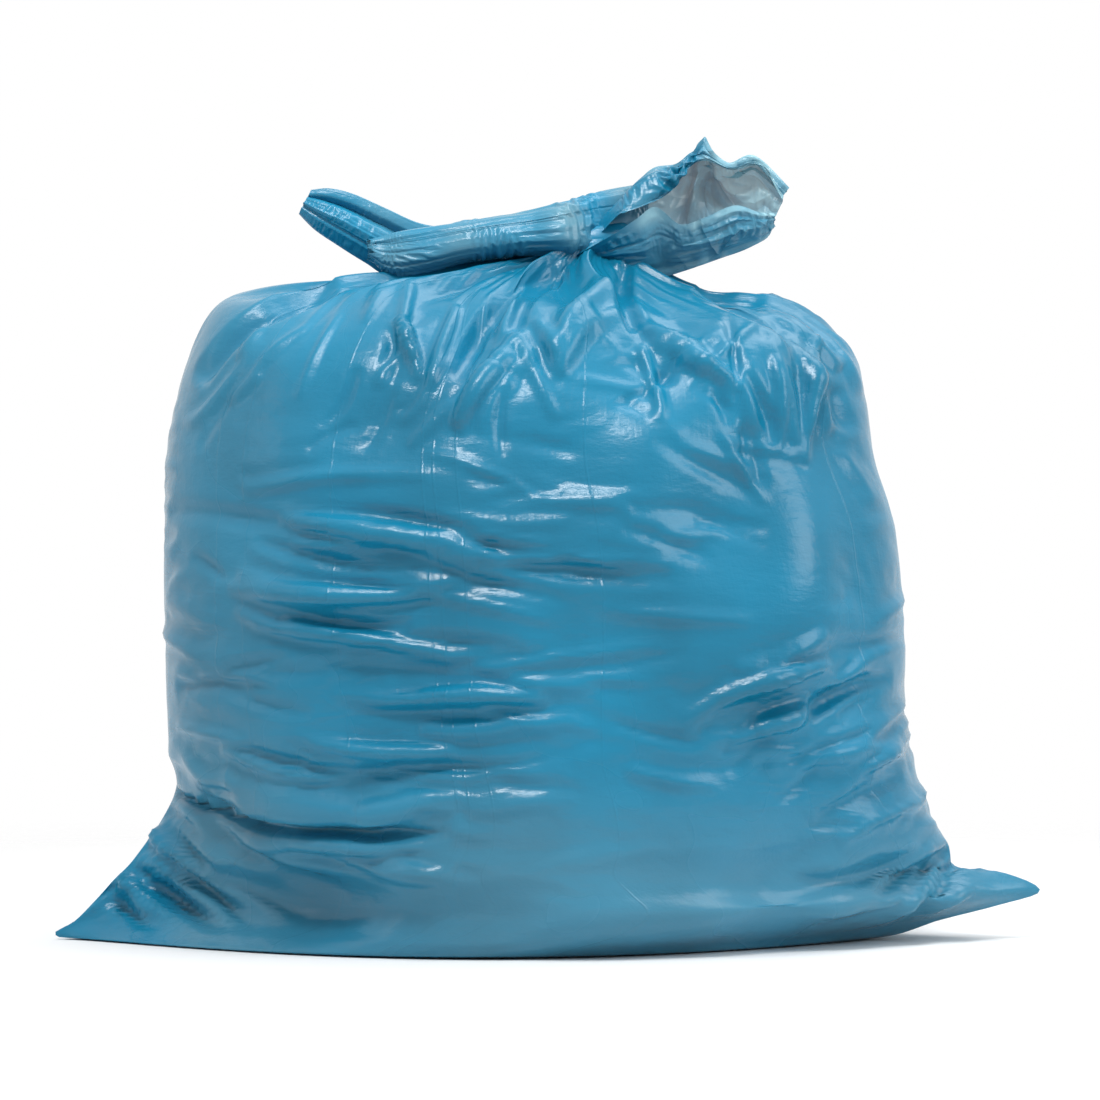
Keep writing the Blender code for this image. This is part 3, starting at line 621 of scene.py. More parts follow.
def small_gathers(angle, at, count, seed, begin):
    """Fine bowed pleats between the main ones."""
    dice = np.random.default_rng(seed)
    fade = 1 - 0.7 * smooth_step(at, 20.0, 22.0)
    total = np.zeros((len(at), len(angle)))
    pitch = 2 * math.pi / count
    for k in range(count):
        place = (k + dice.uniform(-0.35, 0.35)) * pitch
        height = dice.uniform(0.4, 1.0) * (1 if k % 2 else -0.9)
        width = pitch * dice.uniform(0.5, 0.9)
        start = begin + dice.uniform(0.0, 2.2)
        bow = dice.normal(0.0, 0.05) * (at - 18.0)[:, None] ** 2 / 10
        off = np.abs((angle[None, :] - place - bow + math.pi) % (2 * math.pi) - math.pi)
        ridge = np.maximum(0.0, 1 - off / width) ** 1.4
        total += height * (smooth_step(at, start, start + 3.0) * fade)[:, None] * ridge
    return total


def lumps(skin):
    """Slow swellings where rubbish presses on the film: three sines for each wave length.

    They fade out towards both sides, where the outlines rule.
    """
    dice = np.random.default_rng(11)
    total = np.zeros(skin.shape[:2])
    for share in (1.0, 0.81, 0.63, 0.53):
        for _ in range(3):
            way = dice.normal(size=3)
            way = way / np.linalg.norm(way) * 2 * math.pi / (share * LUMP_SIZE)
            total += share * np.sin(skin @ way + dice.uniform(0, 2 * math.pi))
    return LUMP_RISE * total / 2.6 * (1 - 0.85 * smooth_step(np.abs(skin[..., 0]), 0.181, 0.248))


def zone(x, z, at_x, at_z, wide, tall):
    """A soft patch: exp(-((x/wide)^2 + (z/tall)^2))."""
    return np.exp(-(((x - at_x) / wide) ** 2) - ((z - at_z) / tall) ** 2)


def unit(x, y, z, like):
    """The same direction at every point of a grid."""
    way = np.array([x, y, z], float)
    return np.broadcast_to(way / np.linalg.norm(way), like.shape)


def body_crests(skin, angle):
    """Height of all folds over the smooth body: none on the ground, less in the outer corners."""
    x, z = skin[..., 0], skin[..., 2]
    front, back = facing(angle, z)
    crests = front * scattered_creases(x, z, CREASE_ZONES, 17)
    crests += back * scattered_creases(-x, z, CREASE_ZONES, 18)
    for wall, folds in ((front, FRONT_FOLDS), (back, BACK_FOLDS)):
        for fold in folds:
            crests += wall * crease(x, z, [part / 1000 for part in fold])
    return crests * holding(x, z)


def facing(angle, z):
    """Shares of the front and of the back: 1 on that wall, 0 on the other and at both sides."""
    side = np.broadcast_to(np.sin(angle), z.shape)
    return smooth_step(-side, 0.02, 0.2), smooth_step(side, 0.02, 0.2)


def holding(x, z):
    """How freely the skin may swell: not on the ground, and less in the outer corners."""
    return smooth_step(z, 0.002, 0.030) * (1 - 0.6 * smooth_step(np.abs(x), 0.270, 0.330))


def body_slack(skin, angle, slack):
    """Where the film is longer than its form, and which way: (share, way) for settle."""
    x, z = skin[..., 0], skin[..., 2]
    front, back = facing(angle, z)
    patch = 0.35 + 0.65 * smooth_step(waves(skin, (0.10, 0.065, 0.045), 23), -0.35, 0.45)
    upright = unit(0, 0, 1, skin)
    around = np.roll(skin, -1, axis=1) - np.roll(skin, 1, axis=1)
    around /= np.linalg.norm(around, axis=2, keepdims=True) + 1e-12
    shoulder = smooth_step(z, 0.36, 0.45)
    belly = 0.35 + front * zone(x, z, -0.13, 0.20, 0.14, 0.12)
    belly += 0.6 * front * zone(x, z, 0.17, 0.17, 0.09, 0.08)
    belly += 0.7 * back * zone(x, z, 0.0, 0.22, 0.2, 0.12)
    left_corner = front * zone(x, z, -0.27, 0.03, 0.07, 0.06)
    right_corner = zone(x, z, 0.27, 0.03, 0.07, 0.05)
    off_ground = slack * smooth_step(z, 0.004, 0.03)
    return [
        (off_ground * patch * belly * (1 - shoulder), upright),
        (off_ground * 0.9 * patch * shoulder, around),
        (off_ground * 0.12 * patch, around),
        (off_ground * 1.4 * left_corner, unit(0.63, 0, 0.77, skin)),
        (off_ground * 1.2 * right_corner, unit(-0.4, 0, 0.9, skin)),
    ]


def body_film(sizes):
    """The body's film: folds and pleats on the loft, then the slack settled into creases.

    It comes with two shares for its points: how finely creased and how pale the film is there.
    """
    angle, at = body_grid(*BODY_GRID)
    skin = body_skin(angle, at)
    crests = body_crests(skin, angle)
    move = lumps(skin) * holding(skin[..., 0], skin[..., 2]) + CREST_BEFORE * crests
    fine_pleats = small_gathers(angle, at, count=61, seed=8, begin=16.5)
    pleats = sizes.pleat_depth * (gathers(angle, at) + 0.35 * fine_pleats)
    move += pleats * smooth_step(skin[..., 2], 0.30, 0.36)
    skin = skin + outward(skin) * move[..., None]
    skin[..., 2] = np.maximum(skin[..., 2], 0.0)
    x, z = skin[..., 0], skin[..., 2]

    free = smooth_step(z, 0.0015, 0.012) * (1 - smooth_step(at, 21.3, 21.9))[:, None]
    inner, outer = np.full(z.shape, FILM_INNER), np.full(z.shape, FILM_OUTER)
    rounds = ((260, 200, 140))
    film = settle(skin, body_slack(skin, angle, sizes.slack), free, inner, outer, rounds, seed=3)
    film = film + outward(film) * (CREST_AFTER * crests)[..., None]
    film = tuck(film, SLUMP_LINE, deep=0.009, lip=0.008, wide=0.0065)
    film[..., 2] = np.maximum(film[..., 2], 0.0)

    worn = zone(x, z, -0.13, 0.20, 0.14, 0.10) + zone(x, z, 0.19, 0.15, 0.08, 0.07)
    worn = worn * smooth_step(waves(skin, (0.10, 0.05), 29), -0.2, 0.6)
    # The pale share is a painted reflection of the pale floor: paler towards the bottom, more so on the
    # right. It is also paler towards the left side, and not pale at all in the far left, which keeps the
    # dark blue as painted shade.
    pale = (0.12 + 0.12 * smooth_step(x, -0.16, 0.0)) * smooth_step(z + 0.16 * x, 0.15, 0.05)
    pale = (pale + 0.12 * smooth_step(-x, 0.13, 0.24)) * (1 - smooth_step(-x, 0.235, 0.275))
    return film, worn, pale


# The tied mouth


def drawn_film(net, grid, wrap):
    """Film through a net of points (stations, points round each, 3) in millimetres.

    The curves are Catmull-Rom both ways, closed round each station if wrap.
    """
    net = np.asarray(net, float) / 1000
    columns, rows = grid
    count = net.shape[1]
    at = np.linspace(0.0, len(net) - 1, rows)
    lofted = through(net.reshape(len(net), -1), at).reshape(rows, count, 3)
    turn = np.linspace(0.0, count - 1, columns)
    if wrap:
        lofted = np.concatenate([lofted[:, -1:], lofted, lofted[:, :2]], axis=1)
        turn = 1.0 + np.arange(columns) / columns * count
    turned = lofted.transpose(1, 0, 2).reshape(lofted.shape[1], -1)
    return through(turned, turn).reshape(columns, rows, 3).transpose(1, 0, 2)


def flat_net(edges, section):
    """Net of a flattened sleeve: each station has a top, a bottom, a middle depth and a half depth.

    section gives the points round it, as (share of the way from the top to the bottom, depth).
    """
    net = []
    for top, bottom, y, deep in edges:
        top, bottom = np.array(top, float), np.array(bottom, float)
        points = [(*(top + (bottom - top) * share), y + deep * depth) for share, depth in section]
        net.append([(x, depth, z) for x, z, depth in points])
    return net


def ridges(turn, along, count, seed):
    """Creases that run the length of a sleeve: random heights round it, joined by straight lines."""
    dice = np.random.default_rng(seed)
    corner = np.sort(dice.uniform(0.0, 2 * math.pi, count))
    start, end = dice.uniform(-1, 1, count), dice.uniform(-1, 1, count)
    drift = turn + 0.5 * along * dice.normal()
    first = np.interp(drift, corner, start, period=2 * math.pi)
    last = np.interp(drift, corner, end, period=2 * math.pi)
    return first * (1 - along) + last * along


def crumple(film, share, rounds, seed, out, free=None):
    """Settle a small piece of film that is longer than its form by share, both ways.

    free is how far each point may move, from 0 where it is held to 1.
    """
    ahead = np.gradient(film, axis=0)
    ahead /= np.linalg.norm(ahead, axis=2, keepdims=True) + 1e-12
    around = np.roll(film, -1, axis=1) - np.roll(film, 1, axis=1)
    around /= np.linalg.norm(around, axis=2, keepdims=True) + 1e-12
    patch = smooth_step(waves(film, (0.06, 0.04), seed), -0.1, 0.6)
    other = smooth_step(waves(film, (0.06, 0.04), seed + 50), -0.1, 0.6)
    slack = [(share * patch, ahead), (share * other, around)]
    size = film.shape[:2]
    free = np.ones(size) if free is None else free
    rounds = rounds
    return settle(
        film, slack, free, np.full(size, out), np.full(size, out), rounds, seed, 0.02, 0.001
    )


def pleated(film, wrap, deep, seed):
    """Lengthwise creases of two sizes, sharp at their crests. An open film's edges have none."""
    rows, columns = film.shape[:2]
    turn = np.arange(columns)[None, :] / columns * 2 * math.pi
    along = np.linspace(0.0, 1.0, rows)[:, None]
    height = ridges(turn, along, 13, seed) + 0.5 * ridges(turn, along, 34, seed + 1)
    if not wrap:
        edge = np.minimum(np.arange(columns), columns - 1 - np.arange(columns))
        height = height * smooth_step(edge, 0.0, 14.0)[None, :]
    return film + outward(film) * (deep * height)[..., None]


def left_ear_film():
    """The left ear: a flat sleeve with a rolled finger down its front, blunt at its end."""
    edges = [
        ((-165, 524), (-173, 508), 1, 5), ((-152, 525), (-162, 497), 1, 9),
        ((-135, 521), (-146, 486), 2, 12), ((-112, 511), (-127, 474), 3, 12),
        ((-89, 501), (-110, 465), 5, 10), ((-66, 498), (-80, 468), 7, 8),
        ((-34, 498), (-34, 475), 8, 7), ((-2, 495), (3, 478), 8, 6),
    ]  # fmt: skip
    section = [(0, 0), (0.16, -0.25), (0.3, 0.15), (0.4, -0.8), (0.58, -1.0), (0.8, -0.7),
               (1, -0.1), (0.66, 0.7), (0.33, 0.7)]  # fmt: skip
    film = drawn_film(flat_net(edges, section), LEFT_EAR_GRID, True)
    film = pleated(film, True, deep=0.0014, seed=4)
    return crumple(film, share=0.05, rounds=(120, 120, 80), seed=31, out=0.003)


def band_film():
    """The band: the mouth rolled up, crossing the knot from a torn lip on the left."""
    edges = [
        ((-122, 488), (-121, 474), -26, 9), ((-113, 491), (-113, 466), -24, 11),
        ((-100, 494), (-103, 463), -24, 14), ((-79, 497), (-83, 466), -23, 18),
        ((-57, 500), (-58, 472), -23, 20), ((-34, 504), (-34, 475), -22, 21),
        ((-12, 507), (-10, 477), -20, 23), ((11, 513), (15, 476), -18, 26),
        ((33, 522), (39, 475), 1, 17), ((56, 527), (55, 474), 5, 11), ((72, 528), (68, 477), 7, 8),
    ]  # fmt: skip
    section = [(0, 0), (0.08, -0.55), (0.22, -0.80), (0.32, -0.84), (0.5, -0.98), (0.74, -0.96),
               (0.93, -0.6), (1, -0.1), (0.7, 0.7), (0.3, 0.8)]  # fmt: skip
    columns, rows = BAND_GRID
    film = drawn_film(flat_net(edges, section), BAND_GRID, True)
    lip = smooth_step(np.arange(rows), 12.0, 0.0)[:, None]
    turn = np.arange(columns)[None, :]
    film[..., 0] += lip * 0.0035 * np.sin(turn * 0.5) * np.cos(turn * 0.21)
    film = pleated(film, True, deep=0.0010, seed=12)
    return crumple(film, share=0.13, rounds=(120, 140, 100), seed=32, out=0.003)


def wrap_film():
    """The turn of the mouth that goes round the neck, tight under the band and the ears."""
    columns, rows = WRAP_GRID
    angle = np.linspace(0.0, 2 * math.pi, rows)[:, None]
    turn = (np.arange(columns) / columns * 2 * math.pi)[None, :]
    swell = 1 + 0.18 * ridges(turn, np.abs(angle / math.pi - 1), 9, 21)
    reach = 0.008 * np.cos(turn) * swell
    x = 0.030 + (0.024 + reach) * np.cos(angle)
    y = -0.002 + (0.014 + reach) * np.sin(angle)
    z = 0.483 + 0.014 * np.sin(turn) * swell + 0.004 * np.cos(angle)
    film = np.stack([x, y, z], axis=2)
    return crumple(film, share=0.06, rounds=(60, 60, 40), seed=33, out=0.002)


def hood_net():
    """Net of the right ear, from its front lip under its bottom and up its back to the rolled rim.

    Each station gives the lip, the bottom, the top and the rim's lower edge as (x, y, z).
    """
    stations = [
        ((20, -36, 476), (30, -18, 471), (34, -4, 497), (36, -20, 491)),
        ((44, -43, 489), (52, -22, 466), (52, 0, 515), (49, -30, 504)),
        ((61, -45, 500), (69, -20, 462), (62, 2, 528), (54, -32, 506)),
        ((75, -41, 509), (82, -15, 464), (75, 4, 539), (69, -26, 512)),
        ((92, -42, 497), (98, -14, 469), (91, 7, 542), (86, -17, 521)),
        ((109, -38, 502), (115, -12, 475), (109, 4, 552), (106, -6, 543)),
        ((130, -30, 511), (134, -9, 482), (127, 8, 541), (129, 2, 538)),
        ((147, -22, 507), (151, -8, 490), (145, 6, 545), (150, 0, 540)),
        ((158, -12, 507), (156, -4, 497), (167, 0, 523), (164, -7, 517)),
    ]
    net = []
    for k, (lip, low, top, edge) in enumerate(np.array(stations, float)):
        depth = (5, 14, 20, 24, 26, 26, 22, 14, 6)[k]
        bulge = (0, 4, 5, 6, 5, 6, 7, 4, 2)[k]
        front = lip + (low - lip) * 0.45 - (0, bulge, 0)
        front_low = lip + (low - lip) * 0.85 - (0, bulge * 0.7, 0)
        back_low = low + (top - low) * 0.2 + (0, depth * 0.8, 0)
        back = low + (top - low) * 0.55 + (0, depth, 0)
        back_top = low + (top - low) * 0.88 + (0, depth * 0.6, 0)
        roll = 1.0 if k < 5 else 0.3
        rim = top + (edge - top) * 0.35 - roll * np.array((-1, depth * 0.4, -2))
        net.append([lip, front, front_low, low, back_low, back, back_top, top, rim, edge])
    return net


def hood_film():
    """The right ear: a pouch whose back stands higher than its front, with a rolled rim.

    It comes with the places of its rows, 0 to 1, and of its columns, 0 at the lip to 9 at the rim.
    """
    columns, rows = HOOD_GRID
    peak_row, peak_column, peak_rise = 113.5, 222, 0.007
    film = pleated(drawn_film(hood_net(), HOOD_GRID, False), False, deep=0.0034, seed=41)
    column = np.arange(columns)
    peak = np.maximum(0.0, 1 - np.abs(np.arange(rows) - peak_row) / 9) ** 1.6
    beside = np.exp(-(((column - peak_column) / 20) ** 2))
    film[..., 2] += peak_rise * peak[:, None] * beside[None, :]
    row, turn = np.meshgrid(np.arange(rows) / rows, column / columns, indexing="ij")
    bends = sum(crease(row, turn, fold) for fold in HOOD_FOLDS)
    film = film + outward(film) * bends[..., None]
    free = smooth_step(column, 0.0, 45.0) * smooth_step(columns - 1 - column, 0.0, 10.0)
    free = np.broadcast_to(free[None, :], film.shape[:2])
    along = np.linspace(0.0, 1.0, rows)[:, None]
    film = crumple(film, share=0.16, rounds=(120, 140, 100), seed=34, out=0.005, free=free)
    return film, along, np.linspace(0.0, 9.0, columns)[None, :]


# Meshes and materials


def grid_mesh(name, film, wrap, caps, uv):
    """A mesh through a grid of points, closed round each row if wrap, with its UVs in metres."""
    rows, columns = film.shape[:2]
    index = np.arange(rows * columns).reshape(rows, columns)
    if wrap:
        a, b = index[:-1], np.roll(index, -1, axis=1)[:-1]
        d, c = index[1:], np.roll(index, -1, axis=1)[1:]
    else:
        a, b, c, d = index[:-1, :-1], index[:-1, 1:], index[1:, 1:], index[1:, :-1]
    quads = np.stack([a, b, c, d], axis=-1).reshape(-1, 4)
    faces = [tuple(quad) for quad in quads.tolist()]
    if caps:
        faces += [tuple(index[0][::-1].tolist()), tuple(index[-1].tolist())]
    mesh = bpy.data.meshes.new(name)
    mesh.from_pydata(film.reshape(-1, 3).tolist(), [], faces)
    layer = mesh.uv_layers.new(name="film")
    corner = np.empty(len(mesh.loops), np.int32)
    mesh.loops.foreach_get("vertex_index", corner)
    flat = uv.reshape(-1, 2)[corner]
    if wrap:
        quad_u = flat[: len(quads) * 4, 0].reshape(-1, 4)
        period = uv[..., 0].max() + uv[0, 1, 0] - uv[0, 0, 0]
        low = quad_u < quad_u.max(axis=1, keepdims=True) - period / 2
        flat[: len(quads) * 4, 0] = (quad_u + low * period).ravel()
    layer.data.foreach_set("uv", flat.ravel())
    mesh.polygons.foreach_set("use_smooth", np.ones(len(mesh.polygons), bool))
    mesh.update()
    mesh.validate()
    thing = bpy.data.objects.new(name, mesh)
    bpy.context.scene.collection.objects.link(thing)
    return thing


def film_uv(film):
    """Lengths along the film, in metres: round the rows, and up from the first row."""
    round_step = np.linalg.norm(np.roll(film, -1, axis=1) - film, axis=2).mean(axis=0)
    up_step = np.linalg.norm(np.diff(film, axis=0), axis=2).mean(axis=1)
    u = np.concatenate([[0.0], np.cumsum(round_step)[:-1]])
    v = np.concatenate([[0.0], np.cumsum(up_step)])
    return np.stack(np.broadcast_arrays(u[None, :], v[:, None]), axis=-1).copy()


def attribute(thing, name, values):
    """Store one number for each point of the piece's mesh."""
    layer = thing.data.attributes.new(name, "FLOAT", "POINT")
    layer.data.foreach_set("value", np.asarray(values, float).ravel())


class Nodes:
    """Adds and links shader nodes of a new material, or of a world that is given."""

    def __init__(self, name, world=None):
        self.material = world or bpy.data.materials.new(name)
        self.material.use_nodes = True
        self.tree = self.material.node_tree
        self.shader = self.tree.nodes.get("Principled BSDF")

    def add(self, kind, **sockets):
        """A node, its properties set where the name is one, its sockets set or linked."""
        node = self.tree.nodes.new(kind)
        for name, value in sockets.items():
            if hasattr(node, name):
                setattr(node, name, value)
        for name, value in sockets.items():
            if not hasattr(node, name):
                key = int(name[1:]) if name[0] == "i" and name[1:].isdigit() else name.replace("_", " ")
                self.put(node.inputs[key], value)
        return node

    def put(self, socket, value):
        """Link an output to the socket, or set its number."""
        if isinstance(value, bpy.types.NodeSocket):
            self.tree.links.new(value, socket)
        else:
            socket.default_value = value

    def math(self, operation, a, b=0.0):
        """A Math node's output."""
        return self.add("ShaderNodeMath", operation=operation, i0=a, i1=b).outputs[0]

    def rise(self, value, *numbers):
        """A smooth rise: from low and high of the value, to the first and last result."""
        node = self.add("ShaderNodeMapRange", interpolation_type="SMOOTHSTEP")
        for key, number in enumerate((value, *numbers)):
            self.put(node.inputs[key], number)
        return node.outputs[0]

    def mix(self, share, a, b):
        """A colour between two."""
        node = self.tree.nodes.new("ShaderNodeMix")
        node.data_type = "RGBA"
        for key, value in ((0, share), (6, a), (7, b)):
            self.put(node.inputs[key], value)
        return node.outputs[2]

    def ramp(self, value, *stops):
        """A colour ramp from value, with (place, grey) stops."""
        node = self.add("ShaderNodeValToRGB", Fac=value)
        ends = node.color_ramp.elements
        while len(ends) < len(stops):
            ends.new(0.5)
        for end, (place, grey) in zip(ends, stops):
            end.position = place
            end.color = (grey, grey, grey, 1.0)
        return node.outputs["Color"]


def roll_crease(nodes, uv, places):
    """Height of narrow ribs along the film at the given lengths round it: 1 - |u - place| / 1 mm."""
    axes = nodes.add("ShaderNodeSeparateXYZ", Vector=uv)
    total = 0.0
    for place in places:
        off = nodes.math("ABSOLUTE", nodes.math("SUBTRACT", axes.outputs["X"], place))
        rib = nodes.math("MAXIMUM", nodes.math("SUBTRACT", 1.0, nodes.math("MULTIPLY", off, 1000.0)), 0.0)
        total = nodes.math("ADD", rib, total)
    return total


def stack_bumps(nodes, heights):
    """Bumps laid over each other, from (strength, distance, height): the last one's normal."""
    normal = None
    for strength, distance, height in heights:
        bump = nodes.add("ShaderNodeBump", Strength=strength, Distance=distance, Height=height)
        if normal:
            nodes.put(bump.inputs["Normal"], normal)
        normal = bump.outputs["Normal"]
    return normal


def stretched_noise(nodes, place, stretch, **sockets):
    """Noise over places that are first scaled by stretch."""
    at = nodes.add("ShaderNodeMapping", Vector=place, Scale=stretch).outputs["Vector"]
    return nodes.add("ShaderNodeTexNoise", Vector=at, **sockets).outputs["Fac"]


def sharp_crests(nodes, uv, stretch, scale):
    """Height of small sharp crests along the film: 1 - 9 |noise - 0.5|."""
    noise = stretched_noise(nodes, uv, (stretch, 1.0, 1.0), Scale=scale, Detail=1.5, Distortion=0.4)
    off = nodes.math("ABSOLUTE", nodes.math("SUBTRACT", noise, 0.5))
    return nodes.math("MAXIMUM", nodes.math("SUBTRACT", 1.0, nodes.math("MULTIPLY", off, 9.0)), 0.0)


def layered(nodes, uv, thinness):
    """The share of single film, broken into cells where more layers or fewer lie behind."""
    cells = nodes.add("ShaderNodeTexVoronoi", Vector=uv, Scale=34.0).outputs["Color"]
    layer = nodes.add("ShaderNodeSeparateXYZ", Vector=cells).outputs["X"]
    layer = nodes.math("ADD", nodes.math("MULTIPLY", layer, 0.5), 0.6)
    return nodes.math("MULTIPLY", thinness, layer)


def film_material(name, colour, pale, thin=0.0, creases=(), grain=(0.24, 58.0, 0.16)):
    """Glossy polythene: extrusion lines along it, fine crumples, roll creases, paler by its thin share.

    thin is how far a single layer lets the light through, creases are lengths round the film,
    and grain is the stretch, the scale and the strength of the small sharp crests.
    """
    nodes = Nodes(name)
    uv = nodes.add("ShaderNodeUVMap", uv_map="film").outputs["UV"]
    place = nodes.add("ShaderNodeTexCoord").outputs["Object"]
    lines = stretched_noise(nodes, uv, (1.0, 0.05, 1.0), Scale=420.0, Detail=3.0)
    crumple = stretched_noise(nodes, place, (1.0, 1.0, 2.2), Scale=70.0, Detail=5.0, Roughness=0.55)
    patch = stretched_noise(nodes, place, (1.0, 1.0, 1.0), Scale=9.0, Detail=2.0)
    crest = sharp_crests(nodes, uv, grain[0], grain[1])
    worn = nodes.add("ShaderNodeAttribute", attribute_name="worn").outputs["Fac"]
    thinness = nodes.add("ShaderNodeAttribute", attribute_name="thin").outputs["Fac"]
    blue = nodes.add("ShaderNodeMix", data_type="RGBA", blend_type="MULTIPLY")
    shade = nodes.ramp(patch, (0.3, 0.80), (0.7, 1.12))
    for key, value in ((0, 1.0), (6, (*colour, 1.0)), (7, shade)):
        nodes.put(blue.inputs[key], value)
    if thin:
        thinness = layered(nodes, uv, thinness)
        alpha = nodes.math("SUBTRACT", 1.0, nodes.math("MULTIPLY", thinness, thin))
        nodes.put(nodes.shader.inputs["Alpha"], alpha)
    # The pale colour mixed in by the thin share is painted light: light through the single film, and on the
    # body a painted reflection of the pale floor.
    base = nodes.mix(thinness, blue.outputs[2], (*pale, 1.0))
    # On see-through film the small sharp crests turn back to the full blue: painted shade along its folds.
    if thin:
        base = nodes.mix(nodes.math("MULTIPLY", crest, 0.45), base, (*colour, 1.0))
    nodes.put(nodes.shader.inputs["Base Color"], base)
    nodes.put(nodes.shader.inputs["Roughness"], nodes.ramp(patch, (0.35, 0.20), (0.7, 0.31)))
    nodes.shader.inputs["IOR"].default_value = 1.51
    nodes.shader.inputs["Specular IOR Level"].default_value = 0.36
    heights = [(0.10, 0.001, lines), (0.30, 0.002, crumple)]
    heights.append((grain[2], 0.004, nodes.math("MULTIPLY", crest, worn)))
    if creases:
        heights.append((0.3, 0.0006, roll_crease(nodes, uv, creases)))
    nodes.put(nodes.shader.inputs["Normal"], stack_bumps(nodes, heights))
    return nodes.material


def crease_places(film, uv):
    """Where the roll creases lie, as lengths round the film, from their places at the belly."""
    middle = film[np.abs(film[:, 0, 2] - BELLY_HEIGHT).argmin()]
    gaps = [np.abs(middle[:, 0] - place) + (middle[:, 1] > 0) for place in ROLL_CREASES]
    return [float(uv[0, gap.argmin(), 0]) for gap in gaps]


def finish_piece(thing, material):
    """The piece takes its film, rides on the frame and stands for the bag's solid."""
    thing.data.materials.append(material)
    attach(thing, "root")
    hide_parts(NODE)


def add_sleeve(name, film, share, material):
    """A closed piece of folded film, paler in patches by about the share."""
    piece = grid_mesh(name, film, True, True, film_uv(film))
    soft = share * (1 + waves(film, (0.06, 0.04), 51))
    attribute(piece, "thin", np.clip(soft, 0.0, 1.0))
    finish_piece(piece, material)


def add_hood(material):
    """The right ear as one sheet: dark along its rolled rim and its front, pale inside, where light through
    the single film is painted into its colour.
    """
    film, along, across = hood_film()
    hood = grid_mesh("bag_right_ear", film, False, False, film_uv(film))
    rim = smooth_step(across, 6.7, 7.3) * smooth_step(along, 0.68, 0.60)
    front = smooth_step(across, 3.2, 2.0) * smooth_step(across, 0.25, 0.7)
    share = 1.0 - 0.95 * rim - 0.75 * front + 0.12 * waves(film, (0.04, 0.025), 52)
    attribute(hood, "thin", np.clip(share * smooth_step(along, 0.08, 0.35), 0.0, 1.0))
    attribute(hood, "worn", np.broadcast_to(smooth_step(along, 0.2, 0.5), share.shape))
    finish_piece(hood, material)


# The studio


def pale_floor():
    """A white paper floor under the bag that fades out, so that it has no edge in sight."""
    bpy.ops.mesh.primitive_plane_add(size=12.0, location=(0, 0, -0.0005))
    floor = bpy.context.object
    floor.name = "floor"
    nodes = Nodes("paper")
    nodes.shader.inputs["Base Color"].default_value = (0.86, 0.86, 0.86, 1.0)
    nodes.shader.inputs["Roughness"].default_value = 0.8
    where = nodes.add("ShaderNodeTexCoord").outputs["Object"]
    reach = nodes.add("ShaderNodeVectorMath", operation="LENGTH", i0=where).outputs["Value"]
    nodes.put(nodes.shader.inputs["Alpha"], nodes.rise(reach, 0.55, 1.5, 1.0, 0.0))
    floor.data.materials.append(nodes.material)


def add_camera(scene):
    """A long lens straight at the front."""
    lens = bpy.data.cameras.new("camera")
    lens.sensor_width = 36.0
    lens.lens = 149.6
    camera = bpy.data.objects.new("camera", lens)
    camera.location = (0.002, -3.2, 0.272)
    camera.rotation_euler = (math.radians(90.0), 0.0, 0.0)
    scene.collection.objects.link(camera)
    scene.camera = camera


def white_room(scene):
    """White surroundings: seen and mirrored as white, while their light is graded.

    The light is the sum of three smooth rises over the direction: from above, from behind and
    from below. Camera, glossy and transmission rays meet plain white.
    """
    scene.world = bpy.data.worlds.new("studio")
    nodes = Nodes("studio", scene.world)
    where = nodes.add("ShaderNodeTexCoord").outputs["Generated"]
    axes = nodes.add("ShaderNodeSeparateXYZ", i0=where).outputs
    above = nodes.rise(axes["Z"], -0.3, 0.9, 0.12, 0.60)
    behind = nodes.rise(axes["Y"], -0.5, 0.6, 0.0, 0.35)
    below = nodes.rise(axes["Z"], -0.5, 0.05, 0.4, 0.0)
    total = nodes.math("ADD", nodes.math("ADD", above, behind), below)
    path = nodes.add("ShaderNodeLightPath").outputs
    seen = nodes.math("MAXIMUM", path["Is Camera Ray"], path["Is Glossy Ray"])
    seen = nodes.math("MAXIMUM", seen, path["Is Transmission Ray"])
    white = (1.0, 1.0, 1.0, 1.0)
    light = nodes.tree.nodes["Background"]
    nodes.put(light.inputs["Color"], white)
    nodes.put(light.inputs["Strength"], total)
    plain = nodes.add("ShaderNodeBackground", Color=white, Strength=1.0)
    pick = nodes.add("ShaderNodeMixShader", i0=seen, i1=light.outputs[0], i2=plain.outputs[0])
    nodes.put(nodes.tree.nodes["World Output"].inputs["Surface"], pick.outputs[0])


def add_softbox(name, at, aim, wide, tall, power):
    """A rectangular area light at a place, turned to its aim."""
    light = bpy.data.lights.new(name, "AREA")
    light.shape = "RECTANGLE"
    light.size, light.size_y = wide, tall
    light.energy = power
    lamp = bpy.data.objects.new(name, light)
    bpy.context.scene.collection.objects.link(lamp)
    lamp.location = at
    lamp.rotation_euler = (Vector(aim) - Vector(at)).to_track_quat("-Z", "Y").to_euler()


# Operators


class GARBAGE_BAG_OT_body(bpy.types.Operator):
    """Build the filled body of the bag"""

    bl_idname = "garbage_bag.body"
    bl_label = "Build Body"

    def execute(self, context):
        sizes = context.scene.garbage_bag
        film, worn, pale = body_film(sizes)
        uv = film_uv(film)
        body = grid_mesh("bag_body", film, True, True, uv)
        # The share stored as thin on the body is its painted reflection of the floor, not thinner film.
        attribute(body, "thin", pale)
        attribute(body, "worn", worn)
        creases = crease_places(film, uv)
        blue = film_material("film_body", sizes.film_colour, sizes.pale_colour, creases=creases)
        finish_piece(body, blue)
        return {"FINISHED"}


